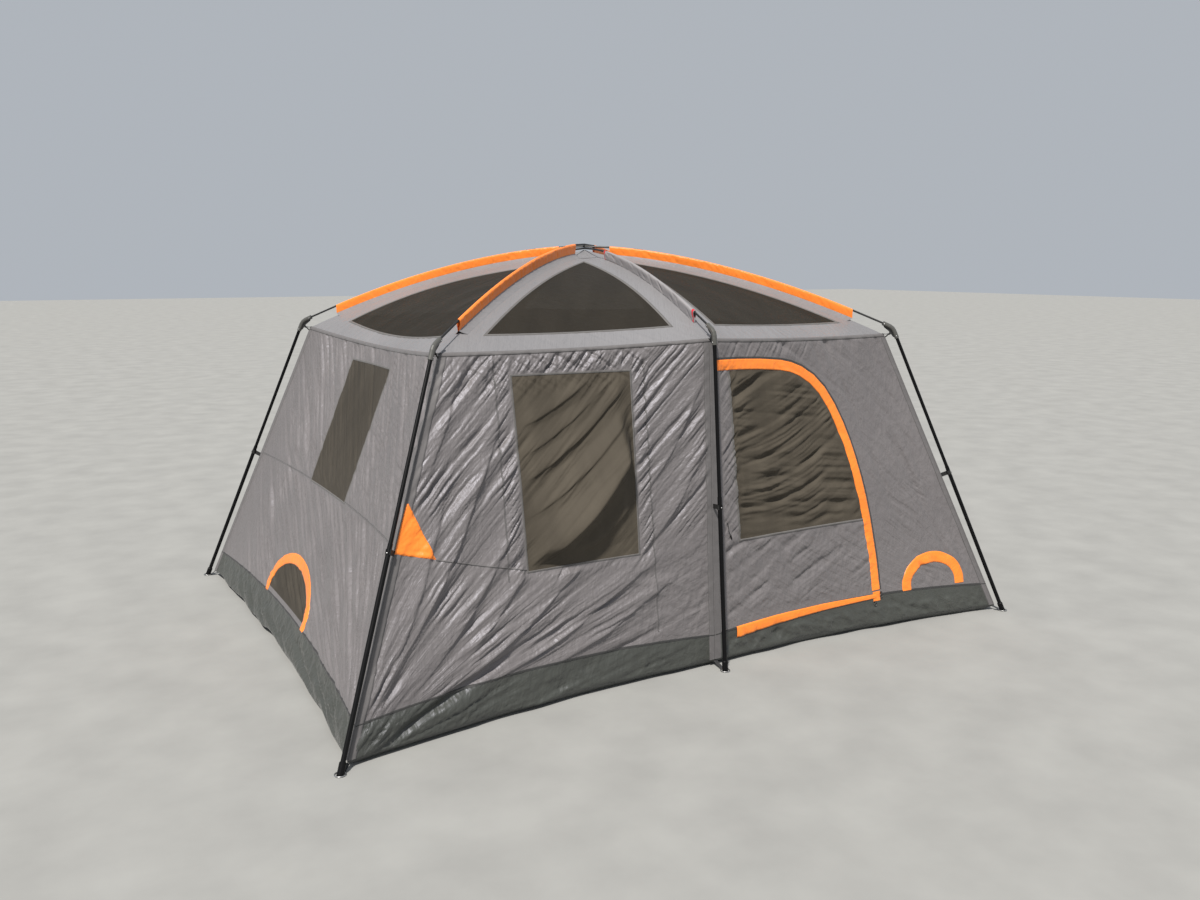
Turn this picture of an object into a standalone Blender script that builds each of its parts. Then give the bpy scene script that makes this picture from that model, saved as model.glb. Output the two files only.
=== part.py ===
"""Six-legged cabin tent: steel legs, arched roof rods in sleeves and a sewn body that hangs inside.

Metres, +Z up, +X along the long front, the front faces -Y, and the origin is on the ground
under the middle of the footprint.
"""

import math

import bmesh
import bpy
from mathutils import Matrix, Vector

UP = Vector((0.0, 0.0, 1.0))
WELD = 0.00001
# Rounds that settle a place on a wall
SOLVE_STEPS = 12

# Frame layout: where the six legs stand and where the roof rods bend over them
FOOT_SPAN_X = 4.05
FOOT_SPAN_Y = 3.14
MID_FOOT_SETBACK = 0.087
MID_FOOT_SPAN_Y = FOOT_SPAN_Y - 2 * MID_FOOT_SETBACK
ELBOW_SPAN_X = 2.824
ELBOW_SPAN_Y = 2.302
ELBOW_Z = 1.70
MID_ELBOW_OUTSET = 0.173
MID_ELBOW_SPAN_Y = ELBOW_SPAN_Y + 2 * MID_ELBOW_OUTSET
MID_ELBOW_RISE = 0.03
MID_ELBOW_Z = ELBOW_Z + MID_ELBOW_RISE
ARCH_RISE = 0.454
CROSSING_Z = ELBOW_Z + ARCH_RISE
ARCH_POWER = 1.75

# Tubes and rods
ROD_D = 0.011
CROSSING_GAP = 0.0004
FERRULE_WALL = 0.001
FERRULE_D = ROD_D + 2 * FERRULE_WALL
FERRULE_LENGTH = 0.060
UPPER_LEG_D = 0.019
UPPER_LEG_WALL = 0.0012
LEG_RUNNING_GAP = 0.0007
LOWER_LEG_WALL = 0.0009
LOWER_LEG_D = UPPER_LEG_D + 2 * (LEG_RUNNING_GAP + LOWER_LEG_WALL)
# Length of lower leg above its clip
CORNER_LEG_ABOVE_CLIP = 0.0374
MID_LEG_ABOVE_CLIP = 0.0514
LEG_OVERLAP = 0.15
LEG_BORE_FLOOR = 0.08
FOOT_LIP = 0.0039
FOOT_D = LOWER_LEG_D + 2 * FOOT_LIP
FOOT_LENGTH = 0.055
FOOT_CHAMFER = 0.004
GROUND_CUT = 0.18
TUBE_SIDES = 12

# Elbows
ELBOW_WALL = 0.0035
ELBOW_D = UPPER_LEG_D + 2 * ELBOW_WALL
ELBOW_ARM = 0.065
ELBOW_BEND = 0.020
# How far the middle of the bend is drawn inside its corner, as a share of ELBOW_BEND
ELBOW_ROUNDING = 0.29
SOCKET_DEPTH = 0.050
SOCKET_GAP = 0.0006
END_GAP = 0.0006

# Shares of a ridge's run from the top (0) to the eave (1): where the roof panels start, where
# the sleeves start and stop, and the stations between them. The crown rods end where the
# middle sleeves start.
ROOF_TOP_START = 0.02
SLEEVE_START = 0.085
CROWN_END = 0.185
BETWEEN = (0.30, 0.44, 0.58, 0.74)
SLEEVE_END = 0.872

# Sewn body, hung inside the frame
FABRIC = 0.0012
BASE_SEAM_Z = 0.03
EAVE_DROP = 0.04
CORNER_BODY_INSET = 0.05
MID_BODY_FOOT_INSET = 0.083
MID_BODY_HEAD_INSET = 0.034
ROOF_TOP_DROP = 0.044
ROOF_TOP_Z = CROSSING_Z - ROOF_TOP_DROP
END_ROOF_SAG = 0.035
LONG_ROOF_SAG = 0.018
# inward draw at the base, inward draw at the eave and sag at the eave, for each kind of wall
END_DRAWS = (0.05, 0.08, 0.045)
LONG_DRAWS = (0.055, 0.02, 0.012)
SKIRT_Z = 0.165
SKIRT_RISE = 0.035
FLOOR_INSET = 0.12

# Gaps that keep the sewn panels separate solids
CORNER_SEAM = 0.0015
EAVE_SEAM = 0.0009
FLAT_SEAM = 0.00045
RIDGE_SEAM = 0.0010
PANEL_GAP = 0.0008
DOOR_HINGE_GAP = 0.0020

# Sleeves
SLEEVE_CLEARANCE = 0.0017
SLEEVE_BORE_D = FERRULE_D + 2 * SLEEVE_CLEARANCE
SLEEVE_WALL = 0.0014
SLEEVE_HEM = 0.004
SLEEVE_LIFT = 0.0003
SLEEVE_HANG = 0.0013
SLEEVE_SIDES = 10

# Heights that follow the skirt and the elbows
SKIRT_TOP_Z = SKIRT_Z + SKIRT_RISE
DOOR_SILL_RISE = 0.022
VENT_SILL_RISE = 0.028
DOOR_TOP_DROP = 0.142
WINDOW_TOP_DROP = 0.15
END_WINDOW_TOP_DROP = 0.18
DOOR_TOP_Z = ELBOW_Z - DOOR_TOP_DROP
WINDOW_TOP_Z = ELBOW_Z - WINDOW_TOP_DROP
END_WINDOW_TOP_Z = ELBOW_Z - END_WINDOW_TOP_DROP

# Openings: low and high place along the wall, then low and high z
FRONT_WINDOW = (-1.045, -0.435, 0.65, WINDOW_TOP_Z)
END_WINDOW = (-0.33, 0.33, 0.84, END_WINDOW_TOP_Z)
DOOR_LEFT = 0.062
DOOR_ARC_START = 0.50
DOOR_RIGHT = 1.135
DOOR_SILL_Z = SKIRT_TOP_Z + DOOR_SILL_RISE
DOOR_ARC_Z = 0.30
# Arched vents: middle along the wall, half width, sill z and height
HATCH = (1.55, 0.175, DOOR_SILL_Z, 0.165)
END_VENT = (0.045, 0.40, SKIRT_TOP_Z + VENT_SILL_RISE, 0.22)
ARC_STEPS = 14

# Columns and rows of each wall's sheet; its roof panel and the skirt share the columns
GRIDS = {
    "front_left": (14, 10),
    "front_right": (12, 7),
    "right_end": (12, 6),
    "back_right": (10, 5),
    "back_left": (10, 5),
    "left_end": (12, 6),
}

# Fold depths and counts; the door's wall hangs smooth
FAN_DEPTH = 0.013
FAN_LOBES = 5.5
PLEAT_DEPTH = 0.007
PLEATS = 4
SOFT_DEPTH = 0.006
SOFT_WAVES = 3

# Clips that tie the body to the legs
CLIP_Z = 0.85
CLIP_RING = 0.0024
CLIP_GAP = 0.0006
CLIP_HEIGHT = 0.024
CLIP_STRAP = 0.0022
CLIP_MOUTH = math.radians(100)
CLIP_STEPS = 7
MID_TIP_GAP = 0.0007
CORNER_TIP_REACH = 0.0003

# Zip sliders
SLIDER_SIZE = (0.010, 0.007, 0.016)
SLIDER_RING_R = 0.009
SLIDER_RING_WIRE = 0.0016
SLIDER_STANDOFF = 0.0008
SLIDER_END_LIFT = 0.004
SIDE_SLIDER_X = 1.165
SIDE_SLIDER_DROP = 0.017
SIDE_SLIDER_Z = DOOR_SILL_Z - SIDE_SLIDER_DROP
SIDE_SLIDER_TRAVEL = 0.38
SILL_SLIDER_X = 1.120
SILL_SLIDER_DROP = 0.04
SILL_SLIDER_Z = SKIRT_TOP_Z - SILL_SLIDER_DROP
SILL_SLIDER_TRAVEL = 1.0

STATIONS = ("front_left", "front_mid", "front_right", "back_right", "back_mid", "back_left")
WALLS = {
    "front_left": ("front_left", "front_mid"),
    "front_right": ("front_mid", "front_right"),
    "right_end": ("front_right", "back_right"),
    "back_right": ("back_right", "back_mid"),
    "back_left": ("back_mid", "back_left"),
    "left_end": ("back_left", "front_left"),
}
OUTWARD = {
    "front": Vector((0, -1, 0)),
    "right": Vector((1, 0, 0)),
    "back": Vector((0, 1, 0)),
    "left": Vector((-1, 0, 0)),
}
ROOF_RUNS = (ROOF_TOP_START, SLEEVE_START, CROWN_END, *BETWEEN, SLEEVE_END, 1.0)
# One rod pair crosses over the next: level 0 is the lowest at the crossing
ROD_LEVELS = {"front_mid": 0, "front_right": 1, "front_left": 2}

COLORS = {
    "grey_fabric": ((0.33, 0.32, 0.32), 0.75, 0.0),
    "skirt_fabric": ((0.17, 0.18, 0.16), 0.6, 0.0),
    "mesh": ((0.07, 0.065, 0.055), 0.9, 0.0),
    "orange_fabric": ((0.95, 0.32, 0.06), 0.7, 0.0),
    "sleeve_grey": ((0.36, 0.35, 0.35), 0.75, 0.0),
    "black_steel": ((0.02, 0.02, 0.022), 0.4, 0.9),
    "elbow_steel": ((0.06, 0.06, 0.055), 0.35, 0.9),
    "black_rod": ((0.03, 0.03, 0.03), 0.45, 0.0),
    "black_plastic": ((0.025, 0.025, 0.025), 0.5, 0.0),
    "zip_metal": ((0.3, 0.3, 0.3), 0.35, 1.0),
}


# Layout of the frame and of the sewn body

def sides(station):
    """Signs of a leg's x and y; x is 0 on the two middle legs."""
    depth, along = station.split("_")
    x = {"left": -1, "mid": 0, "right": 1}[along]
    y = {"front": -1, "back": 1}[depth]
    return x, y


def foot_point(station):
    x, y = sides(station)
    span_y = FOOT_SPAN_Y if x else MID_FOOT_SPAN_Y
    return Vector((x * FOOT_SPAN_X / 2, y * span_y / 2, 0.0))


def elbow_point(station):
    x, y = sides(station)
    span_y = ELBOW_SPAN_Y if x else MID_ELBOW_SPAN_Y
    z = ELBOW_Z if x else MID_ELBOW_Z
    return Vector((x * ELBOW_SPAN_X / 2, y * span_y / 2, z))


def leg_axis(station):
    return (elbow_point(station) - foot_point(station)).normalized()


def inward(point):
    return Vector((-point.x, -point.y, 0.0)).normalized()


def seam_foot(station):
    """Low end of the body's corner or middle seam, beside the foot."""
    foot = foot_point(station)
    inset = CORNER_BODY_INSET if sides(station)[0] else MID_BODY_FOOT_INSET
    return foot + inward(foot) * inset + UP * BASE_SEAM_Z


def seam_head(station):
    """High end of the body's corner or middle seam, beside the elbow."""
    elbow = elbow_point(station)
    inset = CORNER_BODY_INSET if sides(station)[0] else MID_BODY_HEAD_INSET
    return elbow + inward(elbow) * inset - UP * EAVE_DROP


def seam_at_height(station, z):
    low, high = seam_foot(station), seam_head(station)
    return low.lerp(high, (z - low.z) / (high.z - low.z))


def leg_at_height(station, z):
    foot, elbow = foot_point(station), elbow_point(station)
    return foot.lerp(elbow, z / elbow.z)


def rod_level(station):
    """Height of a rod at the crossing, counted in rod diameters and gaps."""
    x, y = sides(station)
    front = {-1: "front_left", 0: "front_mid", 1: "front_right"}[x * -y]
    return ROD_LEVELS[front] * (ROD_D + CROSSING_GAP)


def rod_point(station, run):
    """Point on the arched rod towards a station; run is 0 at the crossing and 1 at the elbow."""
    elbow = elbow_point(station)
    top = CROSSING_Z + rod_level(station)
    z = top - (top - elbow.z) * abs(run) ** ARCH_POWER
    return Vector((elbow.x * run, elbow.y * run, z))


def rod_slope(station, run):
    """Fall of the rod per metre of plan distance."""
    elbow = elbow_point(station)
    top = CROSSING_Z + rod_level(station)
    return (top - elbow.z) * ARCH_POWER * abs(run) ** (ARCH_POWER - 1) / elbow.xy.length


def rod_run(station, ridge_run):
    """Run along a rod beside a run along the ridge below it."""
    return ridge_run * seam_head(station).xy.length / elbow_point(station).xy.length


def rod_tangent(station, run):
    """Direction along the rod, away from the crossing."""
    outwards = -inward(elbow_point(station))
    return (outwards - UP * rod_slope(station, run)).normalized()


def ridge_point(station, run):
    """Point on the sewn ridge that hangs below a rod; run is 1 at the eave."""
    head = seam_head(station)
    z = ROOF_TOP_Z - (ROOF_TOP_Z - head.z) * run ** ARCH_POWER
    return Vector((head.x * run, head.y * run, z))


def is_end(wall):
    return wall.endswith("end")


def outward(wall):
    return OUTWARD[wall.split("_")[0]]


def wall_point(wall, s, t):
    """Point on a wall; s runs along it, t is 0 at the base seam and 1 at the eave."""
    start, end = WALLS[wall]
    bow = 4 * s * (1 - s)
    base_draw, eave_draw, eave_sag = END_DRAWS if is_end(wall) else LONG_DRAWS
    low = seam_foot(start).lerp(seam_foot(end), s)
    high = seam_head(start).lerp(seam_head(end), s)
    low -= outward(wall) * base_draw * bow
    high -= outward(wall) * eave_draw * bow + UP * eave_sag * bow
    return low.lerp(high, t)


def skirt_share(wall, s):
    """The share t of a wall's height where the skirt meets it."""
    low, high = wall_point(wall, s, 0).z, wall_point(wall, s, 1).z
    z = SKIRT_Z + SKIRT_RISE * 4 * s * (1 - s)
    return (z - low) / (high - low)


def fold(wall, s, t):
    """Depth of the wall's main folds, which die out at its seams."""
    mask = math.sin(math.pi * s) * math.sin(math.pi * t) ** 0.5 if 0 < t < 1 else 0.0
    if wall == "front_left":
        return FAN_DEPTH * mask * math.sin(2 * FAN_LOBES * math.atan2(t, s))
    if wall == "front_right":
        return 0.0
    if is_end(wall):
        return PLEAT_DEPTH * mask * math.sin(2 * math.pi * PLEATS * s)
    return SOFT_DEPTH * mask * math.sin(2 * math.pi * SOFT_WAVES * (s + 0.5 * t))


def place_on_wall(wall, along, z):
    """Point of a wall's smooth surface at a place along it and a height."""
    axis = 1 if is_end(wall) else 0
    s, t = 0.5, 0.5
    for _ in range(SOLVE_STEPS):
        start, end = wall_point(wall, 0, t)[axis], wall_point(wall, 1, t)[axis]
        s = (along - start) / (end - start)
        low, high = wall_point(wall, s, 0).z, wall_point(wall, s, 1).z
        t = (z - low) / (high - low)
    return wall_point(wall, s, t)


def roof_point(wall, run, t):
    """Point on a roof panel; run is 0 at the top and 1 at the eave, t goes across it."""
    start, end = WALLS[wall]
    bow = 4 * t * (1 - t)
    sag = END_ROOF_SAG if is_end(wall) else LONG_ROOF_SAG
    _, eave_draw, eave_sag = END_DRAWS if is_end(wall) else LONG_DRAWS
    point = ridge_point(start, run).lerp(ridge_point(end, run), t)
    point -= UP * bow * (sag * run * (1 - run) * 4 + eave_sag * run ** 4)
    return point - outward(wall) * eave_draw * bow * run ** 4


# Blender helpers

def clear_scene():
    for obj in list(bpy.data.objects):
        bpy.data.objects.remove(obj, do_unlink=True)


def collection(name):
    made = bpy.data.collections.new(name)
    bpy.context.scene.collection.children.link(made)
    return made


def make_materials():
    made = {}
    for name, (color, roughness, metallic) in COLORS.items():
        material = bpy.data.materials.new(name)
        material.use_nodes = True
        shader = material.node_tree.nodes["Principled BSDF"]
        shader.inputs["Base Color"].default_value = (*color, 1.0)
        shader.inputs["Roughness"].default_value = roughness
        shader.inputs["Metallic"].default_value = metallic
        material.diffuse_color = (*color, 1.0)
        made[name] = material
    return made


def object_from_bmesh(name, bm, into, material=None):
    mesh = bpy.data.meshes.new(name)
    bm.to_mesh(mesh)
    bm.free()
    obj = bpy.data.objects.new(name, mesh)
    into.objects.link(obj)
    if material:
        mesh.materials.append(material)
    return obj


def smooth(obj, angle=40):
    obj.data.shade_smooth()
    obj.data.set_sharp_from_angle(angle=math.radians(angle))


def axes_matrix(origin, z_axis, x_hint):
    """Placement whose Z runs along z_axis and whose X leans towards x_hint."""
    z_axis = z_axis.normalized()
    y_axis = z_axis.cross(x_hint).normalized()
    x_axis = y_axis.cross(z_axis)
    return Matrix.Translation(origin) @ Matrix((x_axis, y_axis, z_axis)).transposed().to_4x4()


def hide_cutter(obj):
    obj.hide_render = True
    obj.display_type = "WIRE"


def boolean(obj, cutter, operation):
    modifier = obj.modifiers.new(f"{operation.lower()} {cutter.name}", "BOOLEAN")
    modifier.operation = operation
    modifier.object = cutter
    modifier.solver = "EXACT"


def curve_to_mesh(curve_obj, into):
    """Replace a curve object by a mesh with welded caps."""
    depsgraph = bpy.context.evaluated_depsgraph_get()
    mesh = bpy.data.meshes.new_from_object(curve_obj.evaluated_get(depsgraph))
    name, matrix = curve_obj.name, curve_obj.matrix_world.copy()
    bpy.data.objects.remove(curve_obj, do_unlink=True)
    bm = bmesh.new()
    bm.from_mesh(mesh)
    bmesh.ops.remove_doubles(bm, verts=bm.verts, dist=WELD)
    bmesh.ops.recalc_face_normals(bm, faces=bm.faces)
    bm.to_mesh(mesh)
    bm.free()
    obj = bpy.data.objects.new(name, mesh)
    obj.matrix_world = matrix
    into.objects.link(obj)
    return obj


def rod_curve(name, points, radius, into, resolution=2):
    """Round rod along points, its origin on the first point."""
    origin = points[0]
    curve = bpy.data.curves.new(name, "CURVE")
    curve.dimensions = "3D"
    curve.bevel_depth = radius
    curve.bevel_resolution = resolution
    curve.use_fill_caps = True
    spline = curve.splines.new("POLY")
    spline.points.add(len(points) - 1)
    for spline_point, point in zip(spline.points, points):
        spline_point.co = (*(point - origin), 1.0)
    obj = bpy.data.objects.new(name, curve)
    obj.location = origin
    into.objects.link(obj)
    bpy.context.view_layer.update()
    return obj


def flat_outline(name, outline, half_depth, matrix, into):
    """Solid from a flat outline drawn in local XY, half_depth to each side of it."""
    curve = bpy.data.curves.new(name, "CURVE")
    curve.dimensions = "2D"
    curve.fill_mode = "BOTH"
    curve.extrude = half_depth
    spline = curve.splines.new("POLY")
    spline.points.add(len(outline) - 1)
    for spline_point, (x, y) in zip(spline.points, outline):
        spline_point.co = (x, y, 0.0, 1.0)
    spline.use_cyclic_u = True
    obj = bpy.data.objects.new(name, curve)
    obj.matrix_world = matrix
    into.objects.link(obj)
    bpy.context.view_layer.update()
    return curve_to_mesh(obj, into)


def cylinder(name, radius, length, matrix, into):
    """Cylinder that starts at the matrix's origin and runs along its Z."""
    bm = bmesh.new()
    bmesh.ops.create_cone(
        bm, cap_ends=True, segments=TUBE_SIDES, radius1=radius, radius2=radius, depth=length,
        matrix=Matrix.Translation((0, 0, length / 2)),
    )
    obj = object_from_bmesh(name, bm, into)
    obj.matrix_world = matrix
    return obj


def turned(name, profile, matrix, into, material):
    """Turned part from a closed profile of (radius, height) pairs, listed down its outer side."""
    bm = bmesh.new()
    verts = [bm.verts.new((radius, 0.0, height)) for radius, height in profile]
    for first, second in zip(verts, verts[1:] + verts[:1]):
        if first.co.x > 0 or second.co.x > 0:
            bm.edges.new((first, second))
    obj = object_from_bmesh(name, bm, into, material)
    obj.matrix_world = matrix
    screw_round(obj)
    return obj


def screw_round(obj):
    """Turn a closed profile about its object's Z axis."""
    screw = obj.modifiers.new("turn", "SCREW")
    screw.steps = TUBE_SIDES
    screw.render_steps = TUBE_SIDES
    screw.use_merge_vertices = True
    screw.merge_threshold = WELD


def loft(name, outer_rings, inner_rings, into, material):
    """Tube from matching rings of points: an outer skin, a bore and flat ring ends."""
    bm = bmesh.new()
    origin = outer_rings[0][0]
    outer = [[bm.verts.new(point - origin) for point in ring] for ring in outer_rings]
    inner = [[bm.verts.new(point - origin) for point in ring] for ring in inner_rings]
    count = len(outer[0])
    for i in range(count):
        j = (i + 1) % count
        for near, far in zip(outer, outer[1:]):
            bm.faces.new((near[i], near[j], far[j], far[i]))
        for near, far in zip(inner, inner[1:]):
            bm.faces.new((near[j], near[i], far[i], far[j]))
        bm.faces.new((outer[0][j], outer[0][i], inner[0][i], inner[0][j]))
        bm.faces.new((outer[-1][i], outer[-1][j], inner[-1][j], inner[-1][i]))
    bmesh.ops.recalc_face_normals(bm, faces=bm.faces)
    obj = object_from_bmesh(name, bm, into, material)
    obj.location = origin
    return obj


# Steel frame

def crown_rod(name, station, opposite, parts, cutters, materials):
    """Middle section of an arched pole, through the crossing, with a ferrule on each end."""
    half = FERRULE_LENGTH / 2
    points, ends = [], []
    for end in (opposite, station):
        run = rod_run(end, CROWN_END)
        tip, tangent = rod_point(end, run), rod_tangent(end, run)
        ends.append((tip, tangent))
        near_start = rod_point(end, rod_run(end, SLEEVE_START))
        side_points = [tip, tip - tangent * half, near_start]
        points += side_points if end == opposite else [rod_point(end, 0.0), *reversed(side_points)]
    rod = curve_to_mesh(rod_curve(name, points, ROD_D / 2, parts), parts)
    rod.data.materials.append(materials["black_rod"])
    smooth(rod)
    for i, (tip, tangent) in enumerate(ends):
        matrix = axes_matrix(tip - tangent * half, tangent, UP)
        ferrule = cylinder(f"ferrule_{i}_{name}", FERRULE_D / 2, FERRULE_LENGTH, matrix, cutters)
        matrix = axes_matrix(tip, tangent, UP)
        bore = cylinder(f"ferrule_bore_{i}_{name}", ROD_D / 2 + SOCKET_GAP, half * 2, matrix, cutters)
        for cutter, operation in ((ferrule, "UNION"), (bore, "DIFFERENCE")):
            hide_cutter(cutter)
            boolean(rod, cutter, operation)


def rod_direction(station):
    """Direction in which the rod leaves its elbow, towards the crossing."""
    return -rod_tangent(station, 1.0)


def roof_rod(station, parts, materials):
    """Outer section of an arched pole, from the crown rod's ferrule into its elbow's socket."""
    corner, direction = elbow_point(station), rod_direction(station)
    run = rod_run(station, CROWN_END)
    start, tangent = rod_point(station, run), rod_tangent(station, run)
    points = [start + tangent * END_GAP, start + tangent * (FERRULE_LENGTH / 2 + ROD_D)]
    points += [rod_point(station, rod_run(station, share)) for share in (*BETWEEN, SLEEVE_END)]
    points.append(corner + direction * (ELBOW_ARM + ROD_D))
    points.append(corner + direction * (ELBOW_ARM - SOCKET_DEPTH + END_GAP))
    rod = rod_curve(f"roof_rod_{station}", points, ROD_D / 2, parts)
    rod.data.materials.append(materials["black_rod"])


def elbow(station, parts, cutters, materials):
    """Bent steel connector with a socket for the leg and one for the roof rod."""
    corner = elbow_point(station)
    down, over = -leg_axis(station), rod_direction(station)
    bend = [
        corner + down * ELBOW_BEND,
        corner + (down + over) * ELBOW_BEND * ELBOW_ROUNDING,
        corner + over * ELBOW_BEND,
    ]
    points = [corner + down * ELBOW_ARM, *bend, corner + over * ELBOW_ARM]
    curve = rod_curve(f"elbow_{station}", points, ELBOW_D / 2, parts, resolution=4)
    body = curve_to_mesh(curve, parts)
    body.data.materials.append(materials["elbow_steel"])
    smooth(body)
    bores = (("leg", down, UPPER_LEG_D), ("rod", over, ROD_D))
    for label, direction, diameter in bores:
        start = corner + direction * (ELBOW_ARM - SOCKET_DEPTH)
        matrix = axes_matrix(start, direction, direction.orthogonal())
        radius = diameter / 2 + SOCKET_GAP
        cutter = cylinder(f"socket_{label}_{station}", radius, SOCKET_DEPTH * 2, matrix, cutters)
        hide_cutter(cutter)
        boolean(body, cutter, "DIFFERENCE")


def lower_leg_length(station):
    above = CORNER_LEG_ABOVE_CLIP if sides(station)[0] else MID_LEG_ABOVE_CLIP
    return CLIP_Z / leg_axis(station).z + above


def upper_leg(station, parts, materials):
    """Thinner tube from the elbow's socket down into the lower leg."""
    foot, axis = foot_point(station), leg_axis(station)
    full = (elbow_point(station) - foot).length
    low = lower_leg_length(station) - LEG_OVERLAP
    high = full - (ELBOW_ARM - SOCKET_DEPTH) - END_GAP
    outer = UPPER_LEG_D / 2
    inner = outer - UPPER_LEG_WALL
    profile = [(outer, high - low), (outer, 0.0), (inner, 0.0), (inner, high - low)]
    matrix = axes_matrix(foot + axis * low, axis, inward(foot))
    leg = turned(f"upper_leg_{station}", profile, matrix, parts, materials["black_steel"])
    smooth(leg)


def lower_leg(station, parts, cutters, materials):
    """Lower tube with its foot cap, cut level with the ground."""
    foot, axis = foot_point(station), leg_axis(station)
    length = lower_leg_length(station)
    outer, cap = LOWER_LEG_D / 2, FOOT_D / 2
    bore = UPPER_LEG_D / 2 + LEG_RUNNING_GAP
    under = -FOOT_D
    profile = [
        (outer, length),
        (outer, FOOT_LENGTH),
        (cap, FOOT_LENGTH - FOOT_CHAMFER),
        (cap, under),
        (0.0, under),
        (0.0, LEG_BORE_FLOOR),
        (bore, LEG_BORE_FLOOR),
        (bore, length),
    ]
    matrix = axes_matrix(foot, axis, inward(foot))
    leg = turned(f"lower_leg_{station}", profile, matrix, parts, materials["black_steel"])
    smooth(leg)
    bm = bmesh.new()
    bmesh.ops.create_cube(bm, size=GROUND_CUT)
    ground = object_from_bmesh(f"ground_{station}", bm, cutters)
    ground.location = foot - UP * GROUND_CUT / 2
    hide_cutter(ground)
    boolean(leg, ground, "DIFFERENCE")


def leg_clip(station, parts, materials):
    """Hook round the lower leg with a strap that reaches the body's seam."""
    on_leg, axis = leg_at_height(station, CLIP_Z), leg_axis(station)
    seam = seam_at_height(station, CLIP_Z)
    towards = seam - on_leg
    towards -= axis * towards.dot(axis)
    reach = towards.length + (CORNER_TIP_REACH if sides(station)[0] else -MID_TIP_GAP)
    inner = LOWER_LEG_D / 2 + CLIP_GAP
    outer = inner + CLIP_RING
    strap_angle = math.asin(CLIP_STRAP / 2 / outer)
    arc = math.pi - CLIP_MOUTH / 2
    steps = range(CLIP_STEPS + 1)
    angles = [strap_angle + (arc - strap_angle) * i / CLIP_STEPS for i in steps]
    upper = [(outer * math.cos(a), outer * math.sin(a)) for a in angles]
    inner_angles = [arc - arc * i / CLIP_STEPS for i in range(2 * CLIP_STEPS + 1)]
    bore = [(inner * math.cos(a), inner * math.sin(a)) for a in inner_angles]
    lower = [(x, -y) for x, y in reversed(upper)]
    strap = [(reach, -CLIP_STRAP / 2), (reach, CLIP_STRAP / 2)]
    outline = upper + bore + lower + strap
    matrix = axes_matrix(on_leg, axis, towards)
    clip = flat_outline(f"leg_clip_{station}", outline, CLIP_HEIGHT / 2, matrix, parts)
    clip.data.materials.append(materials["black_plastic"])


# Roof rod sleeves

def pole_sleeve(station, parts, materials):
    """Fabric sleeve that hangs on a roof rod and is sewn down to the roof's ridge."""
    is_corner = sides(station)[0] != 0
    shares = (*((SLEEVE_START,) if is_corner else ()), CROWN_END, *BETWEEN, SLEEVE_END)
    across = inward(elbow_point(station)).cross(UP)
    bore = SLEEVE_BORE_D / 2
    flat = bore * math.cos(math.pi / SLEEVE_SIDES)
    outer_rings, inner_rings = [], []
    for share in shares:
        run = rod_run(station, share)
        stretch = math.hypot(1.0, rod_slope(station, run))
        centre = rod_point(station, run) - UP * stretch * (flat - FERRULE_D / 2 - SLEEVE_HANG)
        hem_z = ridge_point(station, share).z + SLEEVE_LIFT
        outer, inner = [], []
        for i in range(SLEEVE_SIDES):
            angle = math.radians(-90 + (i + 0.5) * 360 / SLEEVE_SIDES)
            spoke = across * math.cos(angle) + UP * math.sin(angle) * stretch
            inner.append(centre + spoke * bore)
            if i in (0, SLEEVE_SIDES - 1):
                side = math.copysign(SLEEVE_HEM / 2, math.cos(angle))
                outer.append(Vector((centre.x, centre.y, hem_z)) + across * side)
            else:
                outer.append(centre + spoke * (bore + SLEEVE_WALL))
        outer_rings.append(outer)
        inner_rings.append(inner)
    material = materials["orange_fabric" if is_corner else "sleeve_grey"]
    loft(f"pole_sleeve_{station}", outer_rings, inner_rings, parts, material)


# Sewn body

def surface_grid(columns, rows, point_at, origin, faces_towards):
    """Open grid whose points come from point_at(s, t), turned to face outwards."""
    bm = bmesh.new()
    bmesh.ops.create_grid(bm, x_segments=columns, y_segments=rows, size=1.0)
    for vert in bm.verts:
        s, t = (vert.co.x + 1) / 2, (vert.co.y + 1) / 2
        vert.co = point_at(s, t) - origin
    bm.normal_update()
    total = sum((face.normal * face.calc_area() for face in bm.faces), Vector())
    if total.dot(faces_towards) < 0:
        bmesh.ops.reverse_faces(bm, faces=bm.faces)
    return bm


def thicken(obj):
    solidify = obj.modifiers.new("fabric", "SOLIDIFY")
    solidify.thickness = FABRIC
    solidify.offset = -1.0
    solidify.use_even_offset = True


def seam_inset(station):
    return CORNER_SEAM if sides(station)[0] else FLAT_SEAM


def wall_sheet(name, wall, origin, parts, material):
    """Wall fabric from the skirt to the eave, with its main folds."""
    start, end = WALLS[wall]
    columns, rows = GRIDS[wall]
    length = (seam_head(end) - seam_head(start)).length
    height = (seam_head(start) - seam_foot(start)).length
    low_s, high_s = seam_inset(start) / length, 1 - seam_inset(end) / length

    def point_at(u, v):
        s = low_s + (high_s - low_s) * u
        low_t = skirt_share(wall, s) + FLAT_SEAM / height
        t = low_t + (1 - EAVE_SEAM / height - low_t) * v
        return wall_point(wall, s, t) + outward(wall) * fold(wall, u, v)

    bm = surface_grid(columns, rows, point_at, origin, outward(wall))
    obj = object_from_bmesh(name, bm, parts, material)
    obj.location = origin
    thicken(obj)
    return obj


def rectangle(opening, shrink):
    low, high, low_z, high_z = opening
    return [
        (low + shrink, low_z + shrink),
        (high - shrink, low_z + shrink),
        (high - shrink, high_z - shrink),
        (low + shrink, high_z - shrink),
    ]


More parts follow.
